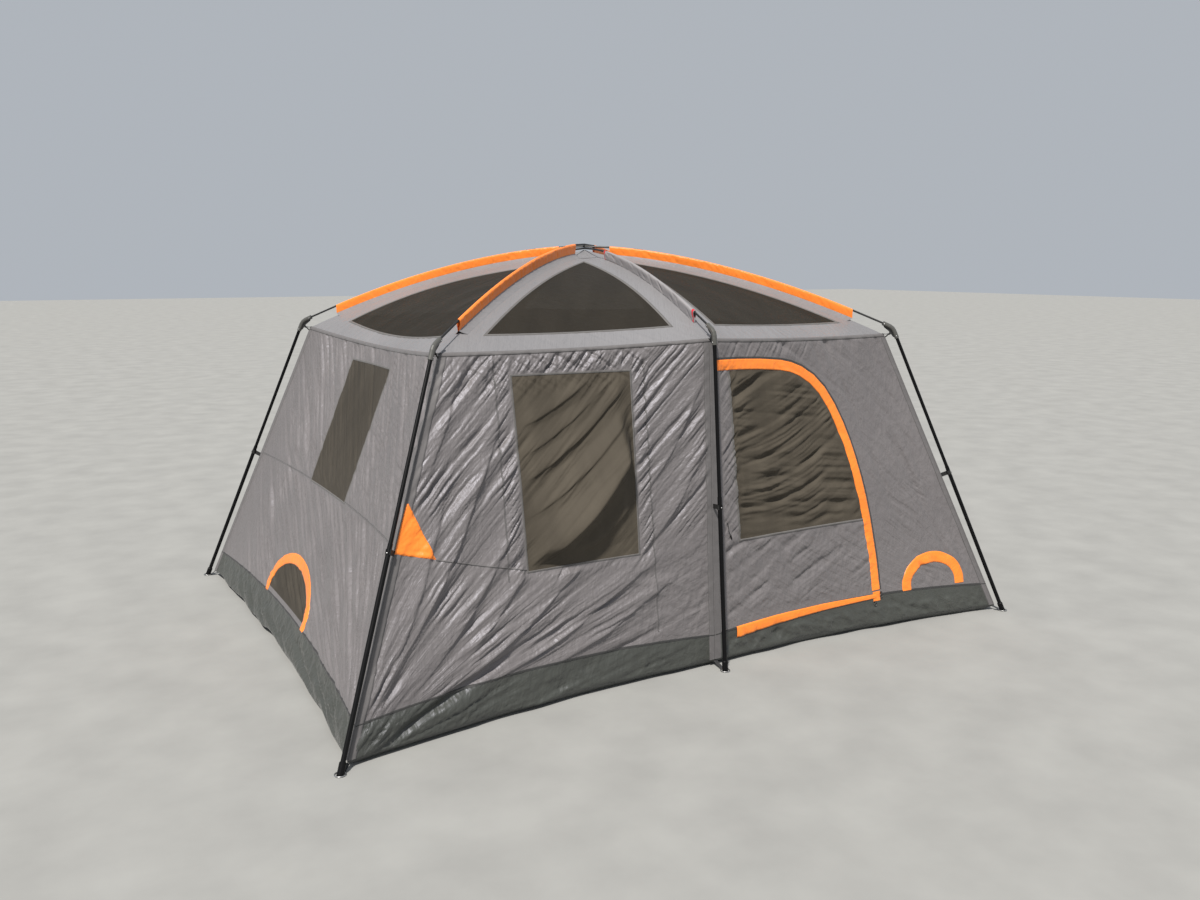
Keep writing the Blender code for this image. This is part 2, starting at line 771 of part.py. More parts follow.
def door_outline(shrink):
    """D-shaped door: straight hinge side, sill and top, joined by a quarter ellipse."""
    right, top = DOOR_RIGHT - shrink, DOOR_TOP_Z - shrink
    half_width, half_height = right - DOOR_ARC_START, top - DOOR_ARC_Z
    left = DOOR_LEFT + shrink * DOOR_HINGE_GAP / PANEL_GAP
    outline = [(left, DOOR_SILL_Z + shrink), (right, DOOR_SILL_Z + shrink)]
    for i in range(ARC_STEPS + 1):
        angle = math.pi / 2 * i / ARC_STEPS
        x = DOOR_ARC_START + half_width * math.cos(angle)
        outline.append((x, DOOR_ARC_Z + half_height * math.sin(angle)))
    outline.append((left, top))
    return outline


def arch(vent, shrink):
    middle, half_width, sill, height = vent
    half_width, height = half_width - shrink, height - 2 * shrink
    outline = []
    for i in range(ARC_STEPS + 1):
        angle = math.pi * i / ARC_STEPS
        outline.append((middle + half_width * math.cos(angle), sill + shrink + height * math.sin(angle)))
    return outline


def wall_prism(name, wall, outline, cutters):
    """Cutter that runs an outline straight through a wall."""
    middle = wall_point(wall, 0.5, 0.5)
    along = Vector((0, 1, 0)) if is_end(wall) else Vector((1, 0, 0))
    depth = along.cross(UP)
    place = Vector((middle.x, 0, 0)) if is_end(wall) else Vector((0, middle.y, 0))
    matrix = Matrix.Translation(place) @ Matrix((along, UP, depth)).transposed().to_4x4()
    reach = (FOOT_SPAN_X - ELBOW_SPAN_X) / 2
    cutter = flat_outline(name, outline, reach, matrix, cutters)
    hide_cutter(cutter)
    return cutter


def cut_panel(name, wall, wall_obj, outline_at, origin, parts, cutters, material):
    """Panel that fills an opening of a wall, a gap smaller all round, from the same sheet."""
    hole = wall_prism(f"hole_{name}", wall, outline_at(0.0), cutters)
    boolean(wall_obj, hole, "DIFFERENCE")
    panel = wall_sheet(name, wall, origin, parts, material)
    blank = wall_prism(f"blank_{name}", wall, outline_at(PANEL_GAP), cutters)
    boolean(panel, blank, "INTERSECT")


def walls(parts, cutters, materials):
    made = {}
    for wall in WALLS:
        origin = wall_point(wall, 0.5, 0.0)
        made[wall] = wall_sheet(f"wall_{wall}", wall, origin, parts, materials["grey_fabric"])

    def panel(name, wall, outline_at, origin, material):
        cut_panel(name, wall, made[wall], outline_at, origin, parts, cutters, materials[material])

    low, _, low_z, _ = FRONT_WINDOW
    origin = place_on_wall("front_left", low, low_z)
    panel("front_window", "front_left", lambda g: rectangle(FRONT_WINDOW, g), origin, "mesh")
    for side in ("left", "right"):
        wall = f"{side}_end"
        origin = place_on_wall(wall, END_WINDOW[0], END_WINDOW[2])
        panel(f"{side}_window", wall, lambda g: rectangle(END_WINDOW, g), origin, "mesh")
    origin = place_on_wall("left_end", END_VENT[0], END_VENT[2])
    panel("left_vent_mesh", "left_end", lambda g: arch(END_VENT, g), origin, "mesh")
    hinge = place_on_wall("front_right", DOOR_LEFT + DOOR_HINGE_GAP / 2, DOOR_SILL_Z)
    panel("door_panel", "front_right", door_outline, hinge, "grey_fabric")
    hinge = place_on_wall("front_right", HATCH[0] - HATCH[1], HATCH[2] + PANEL_GAP)
    panel("vent_flap", "front_right", lambda g: arch(HATCH, g), hinge, "grey_fabric")


def roof_panel(wall, parts, materials):
    """Roof panel between two ridges, sagging a little between them."""
    columns, rows = GRIDS[wall][0], len(ROOF_RUNS) - 1
    start, end = WALLS[wall]
    width = (seam_head(end) - seam_head(start)).length
    depth = (seam_head(start) - ridge_point(start, 0)).length

    def point_at(u, v):
        run = min(ROOF_RUNS[round(v * rows)], 1 - EAVE_SEAM / depth)
        inset = RIDGE_SEAM / (width * run) / math.sin(math.atan2(2 * depth, width))
        return roof_point(wall, run, inset + (1 - 2 * inset) * u)

    origin = ridge_point(start, 1.0)
    bm = surface_grid(columns, rows, point_at, origin, UP)
    obj = object_from_bmesh(f"roof_{wall}", bm, parts, materials["grey_fabric"])
    obj.location = origin
    thicken(obj)


def floor_tub(parts, materials):
    """Ground sheet whose rim rises to the base seam and on to the skirt's top edge."""
    bm = bmesh.new()
    rings = [[], [], []]
    for wall, (columns, _) in GRIDS.items():
        for i in range(columns):
            s = i / columns
            base = wall_point(wall, s, 0)
            inner = base + inward(base) * FLOOR_INSET
            rings[0].append(bm.verts.new((inner.x, inner.y, 0.0)))
            rings[1].append(bm.verts.new(base))
            rings[2].append(bm.verts.new(wall_point(wall, s, skirt_share(wall, s))))
    count = len(rings[0])
    for low, high in zip(rings, rings[1:]):
        for i in range(count):
            j = (i + 1) % count
            bm.faces.new((low[i], low[j], high[j], high[i]))
    bm.faces.new(list(reversed(rings[0])))
    obj = object_from_bmesh("floor_tub", bm, parts, materials["skirt_fabric"])
    thicken(obj)


# Zip sliders

def slider_travel(place, end_place):
    """Start on the wall, direction of travel and outward direction of a zip slider."""
    x, z = place
    step = SLIDER_SIZE[0]
    start = place_on_wall("front_right", x, z)
    beside = place_on_wall("front_right", x + step, z) - start
    above = place_on_wall("front_right", x, z + step) - start
    out = beside.cross(above).normalized()
    end = place_on_wall("front_right", *end_place) + out * SLIDER_END_LIFT
    along = (end - start).normalized()
    return start, along, (out - along * out.dot(along)).normalized()


def zip_slider(name, place, end_place, parts, cutters, materials):
    """Slider body with a pull ring, standing just off the wall; its Z runs along its zip."""
    surface, along, face_out = slider_travel(place, end_place)
    width, depth, height = SLIDER_SIZE
    origin = surface + face_out * (SLIDER_STANDOFF + depth / 2)
    bm = bmesh.new()
    bmesh.ops.create_cube(bm, size=1.0, matrix=Matrix.Diagonal((width, depth, height, 1.0)))
    body = object_from_bmesh(name, bm, parts, materials["zip_metal"])
    body.matrix_world = axes_matrix(origin, along, face_out.cross(along))
    ring = pull_ring(f"ring_{name}", cutters)
    down = (face_out * UP.dot(face_out) - UP).normalized()
    ring_centre = origin + down * (SLIDER_RING_R + height / 3) + face_out * depth / 4
    ring.matrix_world = axes_matrix(ring_centre, face_out, down)
    hide_cutter(ring)
    boolean(body, ring, "UNION")


def pull_ring(name, cutters):
    """Pull ring, turned from a six-sided wire."""
    bm = bmesh.new()
    verts = []
    for i in range(6):
        angle = -2 * math.pi * i / 6
        x = SLIDER_RING_R + SLIDER_RING_WIRE * math.cos(angle)
        verts.append(bm.verts.new((x, 0.0, SLIDER_RING_WIRE * math.sin(angle))))
    for first, second in zip(verts, verts[1:] + verts[:1]):
        bm.edges.new((first, second))
    ring = object_from_bmesh(name, bm, cutters)
    screw_round(ring)
    return ring


def slider_places():
    """Where each slider rests and where its travel ends, along the wall and in height."""
    return {
        "door_slider_side": (
            (SIDE_SLIDER_X, SIDE_SLIDER_Z),
            (SIDE_SLIDER_X, SIDE_SLIDER_Z + SIDE_SLIDER_TRAVEL),
        ),
        "door_slider_sill": (
            (SILL_SLIDER_X, SILL_SLIDER_Z),
            (SILL_SLIDER_X - SILL_SLIDER_TRAVEL, SILL_SLIDER_Z),
        ),
    }


def main():
    clear_scene()
    parts = collection("cabin_tent")
    cutters = collection("cutters")
    materials = make_materials()
    crowns = {
        "crown_rod_diagonal_left": ("front_left", "back_right"),
        "crown_rod_diagonal_right": ("front_right", "back_left"),
        "crown_rod_middle": ("front_mid", "back_mid"),
    }
    for name, (station, opposite) in crowns.items():
        crown_rod(name, station, opposite, parts, cutters, materials)
    for station in STATIONS:
        roof_rod(station, parts, materials)
        elbow(station, parts, cutters, materials)
        upper_leg(station, parts, materials)
        lower_leg(station, parts, cutters, materials)
        leg_clip(station, parts, materials)
        pole_sleeve(station, parts, materials)
    for wall in WALLS:
        roof_panel(wall, parts, materials)
    walls(parts, cutters, materials)
    floor_tub(parts, materials)
    for name, (place, end_place) in slider_places().items():
        zip_slider(name, place, end_place, parts, cutters, materials)
    bpy.context.view_layer.update()


main()
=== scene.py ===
"""Looks of the six-legged cabin tent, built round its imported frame: cloth, mesh, trim and finishes.

Metres, +Z up, +X along the long front, the front faces -Y.
"""

import functools
import math
from typing import NamedTuple

import bpy
import numpy as np
from mathutils import Matrix, Vector


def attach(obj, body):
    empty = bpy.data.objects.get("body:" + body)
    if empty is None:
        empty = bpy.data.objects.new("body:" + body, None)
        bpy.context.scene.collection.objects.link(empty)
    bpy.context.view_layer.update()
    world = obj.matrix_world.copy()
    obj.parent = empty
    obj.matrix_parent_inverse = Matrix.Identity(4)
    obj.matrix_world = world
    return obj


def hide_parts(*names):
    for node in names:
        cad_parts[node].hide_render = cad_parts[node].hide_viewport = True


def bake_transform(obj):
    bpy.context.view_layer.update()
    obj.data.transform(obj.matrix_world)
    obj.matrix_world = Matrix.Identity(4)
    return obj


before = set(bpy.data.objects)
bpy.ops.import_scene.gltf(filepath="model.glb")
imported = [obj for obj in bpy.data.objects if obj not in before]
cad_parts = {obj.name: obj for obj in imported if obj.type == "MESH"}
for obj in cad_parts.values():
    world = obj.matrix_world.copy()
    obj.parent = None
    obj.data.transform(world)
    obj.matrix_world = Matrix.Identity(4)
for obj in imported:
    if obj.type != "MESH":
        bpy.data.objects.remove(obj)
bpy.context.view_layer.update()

# Frame layout, as in the part's source
FOOT_SPAN_X = 4.05
FOOT_SPAN_Y = 3.14
MID_FOOT_SPAN_Y = 2.966
ELBOW_SPAN_X = 2.824
ELBOW_SPAN_Y = 2.302
ELBOW_Z = 1.70
MID_ELBOW_SPAN_Y = 2.648
MID_ELBOW_Z = 1.73
CROSSING_Z = 2.154
ARCH_POWER = 1.75
ROD_D = 0.011
CROSSING_GAP = 0.0004
LOWER_LEG_D = 0.0222
ELBOW_D = 0.026
SLEEVE_START = 0.085
CROWN_END = 0.185
SLEEVE_END = 0.872

# Sewn body, as in the part's source
BASE_SEAM_Z = 0.03
EAVE_DROP = 0.04
CORNER_BODY_INSET = 0.05
MID_BODY_FOOT_INSET = 0.083
MID_BODY_HEAD_INSET = 0.034
ROOF_TOP_Z = 2.110
END_ROOF_SAG = 0.035
LONG_ROOF_SAG = 0.018
END_DRAWS = (0.05, 0.08, 0.045)
LONG_DRAWS = (0.055, 0.02, 0.012)
SKIRT_Z = 0.165
SKIRT_RISE = 0.035
FLOOR_INSET = 0.12
# Windows: first and last place along the wall, low and high z. Arches: middle, half width,
# height of their foot, and rise
FRONT_WINDOW = (-1.045, -0.435, 0.65, 1.55)
END_WINDOW = (-0.33, 0.33, 0.84, 1.52)
DOOR_LEFT = 0.062
DOOR_ARC_START = 0.50
DOOR_RIGHT = 1.135
DOOR_SILL_Z = 0.222
DOOR_ARC_Z = 0.30
DOOR_TOP_Z = 1.558
HATCH = (1.55, 0.175, 0.222, 0.165)
END_VENT = (0.045, 0.40, 0.228, 0.22)
CLIP_Z = 0.85

STATIONS = ("front_left", "front_mid", "front_right", "back_right", "back_mid", "back_left")
WALLS = {
    "front_left": ("front_left", "front_mid"),
    "front_right": ("front_mid", "front_right"),
    "right_end": ("front_right", "back_right"),
    "back_right": ("back_right", "back_mid"),
    "back_left": ("back_mid", "back_left"),
    "left_end": ("back_left", "front_left"),
}
OUTWARD = {"front": (0, -1, 0), "right": (1, 0, 0), "back": (0, 1, 0), "left": (-1, 0, 0)}
# Rods at the crossing, counted from the lowest
ROD_LEVELS = {"front_mid": 0, "front_right": 1, "front_left": 2}
UP = np.array((0.0, 0.0, 1.0))

# Size of a net's cells on each wall, and on the roof and the trim
NET = {"front_left": 0.0062, "front_right": 0.0062, "left_end": 0.0068}
PLAIN_NET = 0.010
ROOF_NET = 0.0075
TRIM_NET = 0.006
COARSE = 1.0

TINY = 1e-9
# A distance beyond every fold, and how far a sewn edge sinks into the cloth below it
FAR = 9.0
EDGE_SINK = -0.0006
# Lift of sewn trim over the cloth below it
TRIM_LIFT = 0.0012
# Rounds in which wall_shares closes in on a place
SHARE_STEPS = 12


# Layout, worked out as in the part's source, for whole arrays of places

def sides(station):
    depth, along = station.split("_")
    return {"left": -1, "mid": 0, "right": 1}[along], {"front": -1, "back": 1}[depth]


def station_point(station, span_x, span_y, height):
    x, y = sides(station)
    return np.array((x * span_x / 2, y * span_y / 2, height))


def foot_point(station):
    span_y = FOOT_SPAN_Y if sides(station)[0] else MID_FOOT_SPAN_Y
    return station_point(station, FOOT_SPAN_X, span_y, 0.0)


def elbow_point(station):
    corner = sides(station)[0]
    span_y, height = (ELBOW_SPAN_Y, ELBOW_Z) if corner else (MID_ELBOW_SPAN_Y, MID_ELBOW_Z)
    return station_point(station, ELBOW_SPAN_X, span_y, height)


def unit(vector):
    return vector / np.linalg.norm(vector, axis=-1, keepdims=True)


def inward(point):
    return unit(np.array((-point[0], -point[1], 0.0)))


def leg_axis(station):
    return unit(elbow_point(station) - foot_point(station))


def seam_foot(station):
    foot = foot_point(station)
    inset = CORNER_BODY_INSET if sides(station)[0] else MID_BODY_FOOT_INSET
    return foot + inward(foot) * inset + UP * BASE_SEAM_Z


def seam_head(station):
    elbow = elbow_point(station)
    inset = CORNER_BODY_INSET if sides(station)[0] else MID_BODY_HEAD_INSET
    return elbow + inward(elbow) * inset - UP * EAVE_DROP


def rod_level(station):
    x, y = sides(station)
    front = {-1: "front_left", 0: "front_mid", 1: "front_right"}[x * -y]
    return ROD_LEVELS[front] * (ROD_D + CROSSING_GAP)


def arched(end, top, run):
    """Points on an arch that falls from a top on the tent's axis to its end; run is 0 to 1."""
    run = np.asarray(run, float)
    z = top - (top - end[2]) * run ** ARCH_POWER
    return np.stack((end[0] * run, end[1] * run, z), -1)


def rod_point(station, run):
    """Points on the arched rod; run is 0 at the crossing and 1 at the elbow."""
    return arched(elbow_point(station), CROSSING_Z + rod_level(station), run)


def ridge_point(station, run):
    """Points on the sewn ridge below a rod; run is 1 at the eave."""
    return arched(seam_head(station), ROOF_TOP_Z, run)


def is_end(wall):
    return wall.endswith("end")


def outward(wall):
    return np.array(OUTWARD[wall.split("_")[0]], float)


def mix(a, b, share):
    share = np.asarray(share, float)[..., None]
    return a + (b - a) * share


def smoothstep(low, high, value):
    share = np.clip((value - low) / (high - low), 0, 1)
    return share * share * (3 - 2 * share)


def bow_at(share):
    """How far a seam drawn between two points has left the straight line: 0, 1, 0."""
    return 4 * share * (1 - share)


def draws(wall):
    """How far a wall's base and eave are drawn in at their middles, and how far the eave sags."""
    return END_DRAWS if is_end(wall) else LONG_DRAWS


def wall_point(wall, s, t):
    """Points of a wall's smooth sheet; s runs right as seen from outside, t from base to eave."""
    start, end = WALLS[wall]
    s, t = np.asarray(s, float), np.asarray(t, float)
    bow = bow_at(s)[..., None]
    base_draw, eave_draw, eave_sag = draws(wall)
    low = mix(seam_foot(start), seam_foot(end), s) - outward(wall) * base_draw * bow
    high = mix(seam_head(start), seam_head(end), s)
    high = high - (outward(wall) * eave_draw + UP * eave_sag) * bow
    return low + (high - low) * t[..., None]


def wall_place(wall, s, t):
    """Places on a wall as x or y along it and height."""
    point = wall_point(wall, s, t)
    return np.stack((point[..., 1 if is_end(wall) else 0], point[..., 2]), -1)


def at_ends(surface, share, axis):
    """One coordinate of a surface where its other share is 0 and where it is 1."""
    return (surface(0 * share + end)[..., axis] for end in (0, 1))


def skirt_share(wall, s):
    """The share t of a wall's height where the skirt meets it."""
    low, high = at_ends(lambda t: wall_point(wall, s, t), s, 2)
    return (SKIRT_Z + SKIRT_RISE * 4 * s * (1 - s) - low) / (high - low)


def wall_shares(wall, along, z):
    """The shares (s, t) of places given by x or y along a wall and height."""
    along, z = np.asarray(along, float), np.asarray(z, float)
    s, t = 0 * along + 0.5, 0 * along + 0.5
    for _ in range(SHARE_STEPS):
        start, end = at_ends(lambda share: wall_place(wall, share, t), t, 0)
        s = (along - start) / (end - start)
        low, high = at_ends(lambda share: wall_place(wall, s, share), s, 1)
        t = (z - low) / (high - low)
    return s, t


def roof_point(wall, run, t):
    """Points of a roof panel; run is 0 at the top and 1 at the eave, t goes across it."""
    start, end = WALLS[wall]
    run, t = np.asarray(run, float), np.asarray(t, float)
    bow = bow_at(t)[..., None]
    sag = END_ROOF_SAG if is_end(wall) else LONG_ROOF_SAG
    _, eave_draw, eave_sag = draws(wall)
    far = (run ** 4)[..., None]
    point = mix(ridge_point(start, run), ridge_point(end, run), t)
    point = point - UP * bow * (sag * (run * (1 - run) * 4)[..., None] + eave_sag * far)
    return point - outward(wall) * eave_draw * bow * far


def normals_of(surface, a, b, towards):
    """Unit normals of surface(a, b), turned to the side of towards."""
    step = 0.0005
    across = surface(a + step, b) - surface(a - step, b)
    up = surface(a, b + step) - surface(a, b - step)
    normal = unit(np.cross(across, up))
    return normal * np.sign((normal @ towards))[..., None]


# Smooth noise and the folds made from it

class Noise:
    """Smooth noise from about -1 to 1 over a plane, the same on each run."""

    SIZE = 256

    def __init__(self, seed):
        angles = np.random.default_rng(seed).uniform(0, 2 * math.pi, (self.SIZE, self.SIZE))
        self.gradient = np.stack((np.cos(angles), np.sin(angles)), -1)

    def __call__(self, x, y):
        x, y = np.broadcast_arrays(np.asarray(x, float), np.asarray(y, float))
        low_x, low_y = np.floor(x), np.floor(y)
        part_x, part_y = x - low_x, y - low_y
        ease_x = part_x ** 3 * (part_x * (part_x * 6 - 15) + 10)
        ease_y = part_y ** 3 * (part_y * (part_y * 6 - 15) + 10)
        corners = []
        for i in (0, 1):
            for j in (0, 1):
                column = (low_x + i).astype(np.int64) % self.SIZE
                row = (low_y + j).astype(np.int64) % self.SIZE
                gradient = self.gradient[column, row]
                corners.append(gradient[..., 0] * (part_x - i) + gradient[..., 1] * (part_y - j))
        left = corners[0] + (corners[1] - corners[0]) * ease_y
        right = corners[2] + (corners[3] - corners[2]) * ease_y
        return (left + (right - left) * ease_x) * 1.5


def creased(wave, sharpness=0.5):
    """Noise turned partly into narrow ridges."""
    ridge = 0.5 - 1.6 * np.abs(wave)
    return (1 - sharpness) * wave + sharpness * ridge


class Tension:
    """Places between two pulled corners: which arc from one to the other, and how far along it."""

    def __init__(self, u, v, a, b, seed=0.0):
        self.run = np.hypot(u - a[0], v - a[1]) + 1e-4
        left = np.hypot(b[0] - u, b[1] - v) + 1e-4
        base = math.atan2(b[1] - a[1], b[0] - a[0])
        at_a = np.arctan2(v - a[1], u - a[0]) - base
        at_b = np.arctan2(b[1] - v, b[0] - u) - base
        turn = 2 * math.pi
        self.spread = self.run * left / math.hypot(b[0] - a[0], b[1] - a[1])
        sag = NOISES["sag"]
        sway = 0.008 * sag(u / 0.40 + seed, v / 0.40) + 0.0030 * sag(u / 0.06, v / 0.06 + seed)
        self.arc = (at_a + math.pi) % turn - (at_b + math.pi) % turn + sway / self.spread
        self.patch = smoothstep(-0.5, 0.6, NOISES["skirt"](u / 0.26 + seed, v / 0.26 + 8))
        self.seed = seed

    def folds(self, noise, cell, stretch, slope, kink, calm):
        """Folds that run along the arcs and split where they spread; cell is their half width."""
        level = np.log2(np.maximum(self.spread, 0.08) / cell)
        low = np.floor(level)
        share = smoothstep(0.0, 1.0, level - low)
        total = 0.0
        for size, weight in ((low, 1 - share), (low + 1, share)):
            shift = 7.31 * size + self.seed
            wave = noise(self.arc * 2 ** size + shift, self.run / stretch + shift * 1.7)
            total = total + weight * wave
        total = total / np.sqrt(share ** 2 + (1 - share) ** 2)
        return slope * cell * (calm + (1 - calm) * 1.5 * self.patch) * creased(total, kink)


def crumple(name, u, v, cell, depth, turn=0.0):
    """Creases that run every way, like those of crumpled cloth."""
    noise = NOISES[name]
    x = (u * math.cos(turn) + v * math.sin(turn)) / cell
    y = (v * math.cos(turn) - u * math.sin(turn)) / cell
    bend_x = noise(x / 2.3 + 31.1, y / 2.3 + 7.7) * 1.1
    bend_y = noise(x / 2.3 + 11.3, y / 2.3 + 57.9) * 1.1
    first = noise(x + bend_x, y * 0.8 + bend_y)
    second = noise(x * 1.2 + y * 0.9 - bend_y + 90, y * 1.3 - x * 0.8 + bend_x + 40)
    return depth * (creased(first, 0.8) + 0.6 * creased(second, 0.8)) / 1.4


# Outlines in the plane of a wall: places along it and heights

def door_arc(right, top):
    """Quarter of an ellipse over the door's right side, from its foot to the top."""
    angles = np.linspace(0, math.pi / 2, 28)
    arc_x = DOOR_ARC_START + (right - DOOR_ARC_START) * np.cos(angles)
    return arc_x, DOOR_ARC_Z + (top - DOOR_ARC_Z) * np.sin(angles)


def rectangle(opening):
    low, high, low_z, high_z = opening
    return np.array(((low, low_z), (high, low_z), (high, high_z), (low, high_z)))


def door_outline():
    start = [(DOOR_LEFT, DOOR_SILL_Z), (DOOR_RIGHT, DOOR_SILL_Z)]
    arc = zip(*door_arc(DOOR_RIGHT, DOOR_TOP_Z))
    return np.array([*start, *arc, (DOOR_LEFT, DOOR_TOP_Z)])


def arch(vent):
    middle, half_width, sill, height = vent
    angles = np.linspace(0, math.pi, 31)
    return np.stack((middle + half_width * np.cos(angles), sill + height * np.sin(angles)), -1)


class Outline:
    """A closed line in a plane, which gives distances, nearest points and lengths along it."""

    def __init__(self, points):
        self.points = np.asarray(points, float)
        self.ends = np.roll(self.points, -1, 0)
        self.lengths = np.linalg.norm(self.ends - self.points, axis=1)
        self.starts = np.concatenate(([0], np.cumsum(self.lengths)[:-1]))

    def measure(self, places):
        """Signed distance (negative inside), nearest point and length along the line there."""
        best = np.full(len(places), 1e9)
        nearest, along = np.zeros((len(places), 2)), np.zeros(len(places))
        inside = np.zeros(len(places), bool)
        for a, b, length, start in zip(self.points, self.ends, self.lengths, self.starts):
            if length < TINY:
                continue
            way = (b - a) / length
            run = np.clip((places - a) @ way, 0, length)
            touch = a + run[:, None] * way
            gap = np.hypot(*(places - touch).T)
            closer = gap < best
            best = np.where(closer, gap, best)
            nearest[closer] = touch[closer]
            along[closer] = start + run[closer]
            rising = (a[1] <= places[:, 1]) != (b[1] <= places[:, 1])
            with np.errstate(divide="ignore", invalid="ignore"):
                cross_x = a[0] + (places[:, 1] - a[1]) * (b[0] - a[0]) / (b[1] - a[1])
            inside ^= rising & (places[:, 0] < cross_x)
        return np.where(inside, -best, best), nearest, along

    def beyond(self, places):
        """Distance outside the line, and FAR inside it; then the length along the line."""
        distance, _, along = self.measure(places)
        return np.where(distance > 0, distance, FAR), along


# Nets: a sheet is an even net of points in its own plane, fitted to outlines

def even_net(width, height, step):
    """Points over a rectangle and its triangles, with their diagonals turned about."""
    columns, rows = max(2, round(width / step)), max(2, round(height / step))
    x, y = np.meshgrid(np.linspace(0, width, columns + 1), np.linspace(0, height, rows + 1))
    index = np.arange((columns + 1) * (rows + 1)).reshape(rows + 1, columns + 1)
    a, b, c, d = index[:-1, :-1], index[:-1, 1:], index[1:, 1:], index[1:, :-1]
    flip = (np.add.outer(np.arange(rows), np.arange(columns)) % 2).astype(bool)
    first = np.where(flip[..., None], np.stack((a, b, d), -1), np.stack((a, b, c), -1))
    second = np.where(flip[..., None], np.stack((b, c, d), -1), np.stack((a, c, d), -1))
    triangles = np.concatenate((first.reshape(-1, 3), second.reshape(-1, 3)))
    return np.stack((x.ravel(), y.ravel()), -1), triangles


def fit_net(points, triangles, outline, corners):
    """Moves points onto an outline, so each triangle lies on one side; returns inside flags."""
    distance, nearest, _ = outline.measure(points)
    for corner in corners:
        i = np.argmin(np.hypot(*(points - corner).T))
        points[i], distance[i] = corner, 0.0
    edges = np.concatenate((triangles[:, :2], triangles[:, 1:], triangles[:, ::2]))
    low, high = edges[:, 0], edges[:, 1]
    crossing = distance[low] * distance[high] < 0
    low, high = low[crossing], high[crossing]
    moved = np.unique(np.where(np.abs(distance[low]) < np.abs(distance[high]), low, high))
    points[moved] = nearest[moved]
    distance[moved] = 0.0
    score = distance[triangles].sum(1)
    flat = score == 0
    if flat.any():
        score[flat] = outline.measure(points[triangles[flat]].mean(1))[0]
    return score < 0


# Blender helpers

def new_object(name, data):
    obj = bpy.data.objects.new(name, data)
    bpy.context.scene.collection.objects.link(obj)
    return obj


def mesh_object(name, points, faces, material, uv=None, smooth=True, pull=None):
    """Object from arrays: points (N, 3), faces (M, 3) or (M, 4), uv (N, 2) in metres of cloth.

    pull (N, 2) is where each point is in the wall's pulled folds, for the finest creases."""
    per_face = np.shape(faces)[1]
    used, faces = np.unique(faces, return_inverse=True)
    faces = faces.ravel().astype(np.int32)
    points = np.asarray(points, np.float32)[used]
    mesh = bpy.data.meshes.new(name)
    mesh.vertices.add(len(points))
    mesh.vertices.foreach_set("co", points.ravel())
    mesh.loops.add(faces.size)
    mesh.loops.foreach_set("vertex_index", faces)
    mesh.polygons.add(faces.size // per_face)
    starts = np.arange(0, faces.size, per_face, dtype=np.int32)
    mesh.polygons.foreach_set("loop_start", starts)
    for layer_name, values in (("cloth", uv), ("pull", pull)):
        if values is not None:
            layer = mesh.uv_layers.new(name=layer_name)
            layer.data.foreach_set("uv", np.asarray(values, np.float32)[used][faces].ravel())
    mesh.update(calc_edges=True)
    mesh.validate()
    if smooth:
        mesh.shade_smooth()
    mesh.materials.append(material)
    return new_object(name, mesh)


def grid_faces(rows, columns, closed=False):
    """Quads of a grid of points listed row by row; closed joins the last column to the first."""
    index = np.arange(rows * columns).reshape(rows, columns)
    if closed:
        index = np.concatenate((index, index[:, :1]), 1)
    quads = np.stack((index[:-1, :-1], index[:-1, 1:], index[1:, 1:], index[1:, :-1]), -1)
    return quads.reshape(-1, 4)


def facing(points, faces, towards):
    """Faces turned so that they face outwards on the whole."""
    corner = points[faces]
    normal = np.cross(corner[:, 1] - corner[:, 0], corner[:, 2] - corner[:, 0]).sum(0)
    return faces if normal @ towards > 0 else faces[:, ::-1]


def grid_object(name, skin, uv, material, towards=None, pull=None):
    """Object from a grid of points (rows, columns, 3), and where each of them is on its cloth."""
    points, faces = skin.reshape(-1, 3), grid_faces(*skin.shape[:2])
    if towards is not None:
        faces = facing(points, faces, towards)
    return mesh_object(name, points, faces, material, uv.reshape(-1, 2), pull=pull)


def place(obj, body="root"):
    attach(obj, body)
    return obj


def walls_beside(station):
    """The walls that end and that start at a station."""
    return [next(wall for wall, ends in WALLS.items() if ends[i] == station) for i in (1, 0)]


# Materials

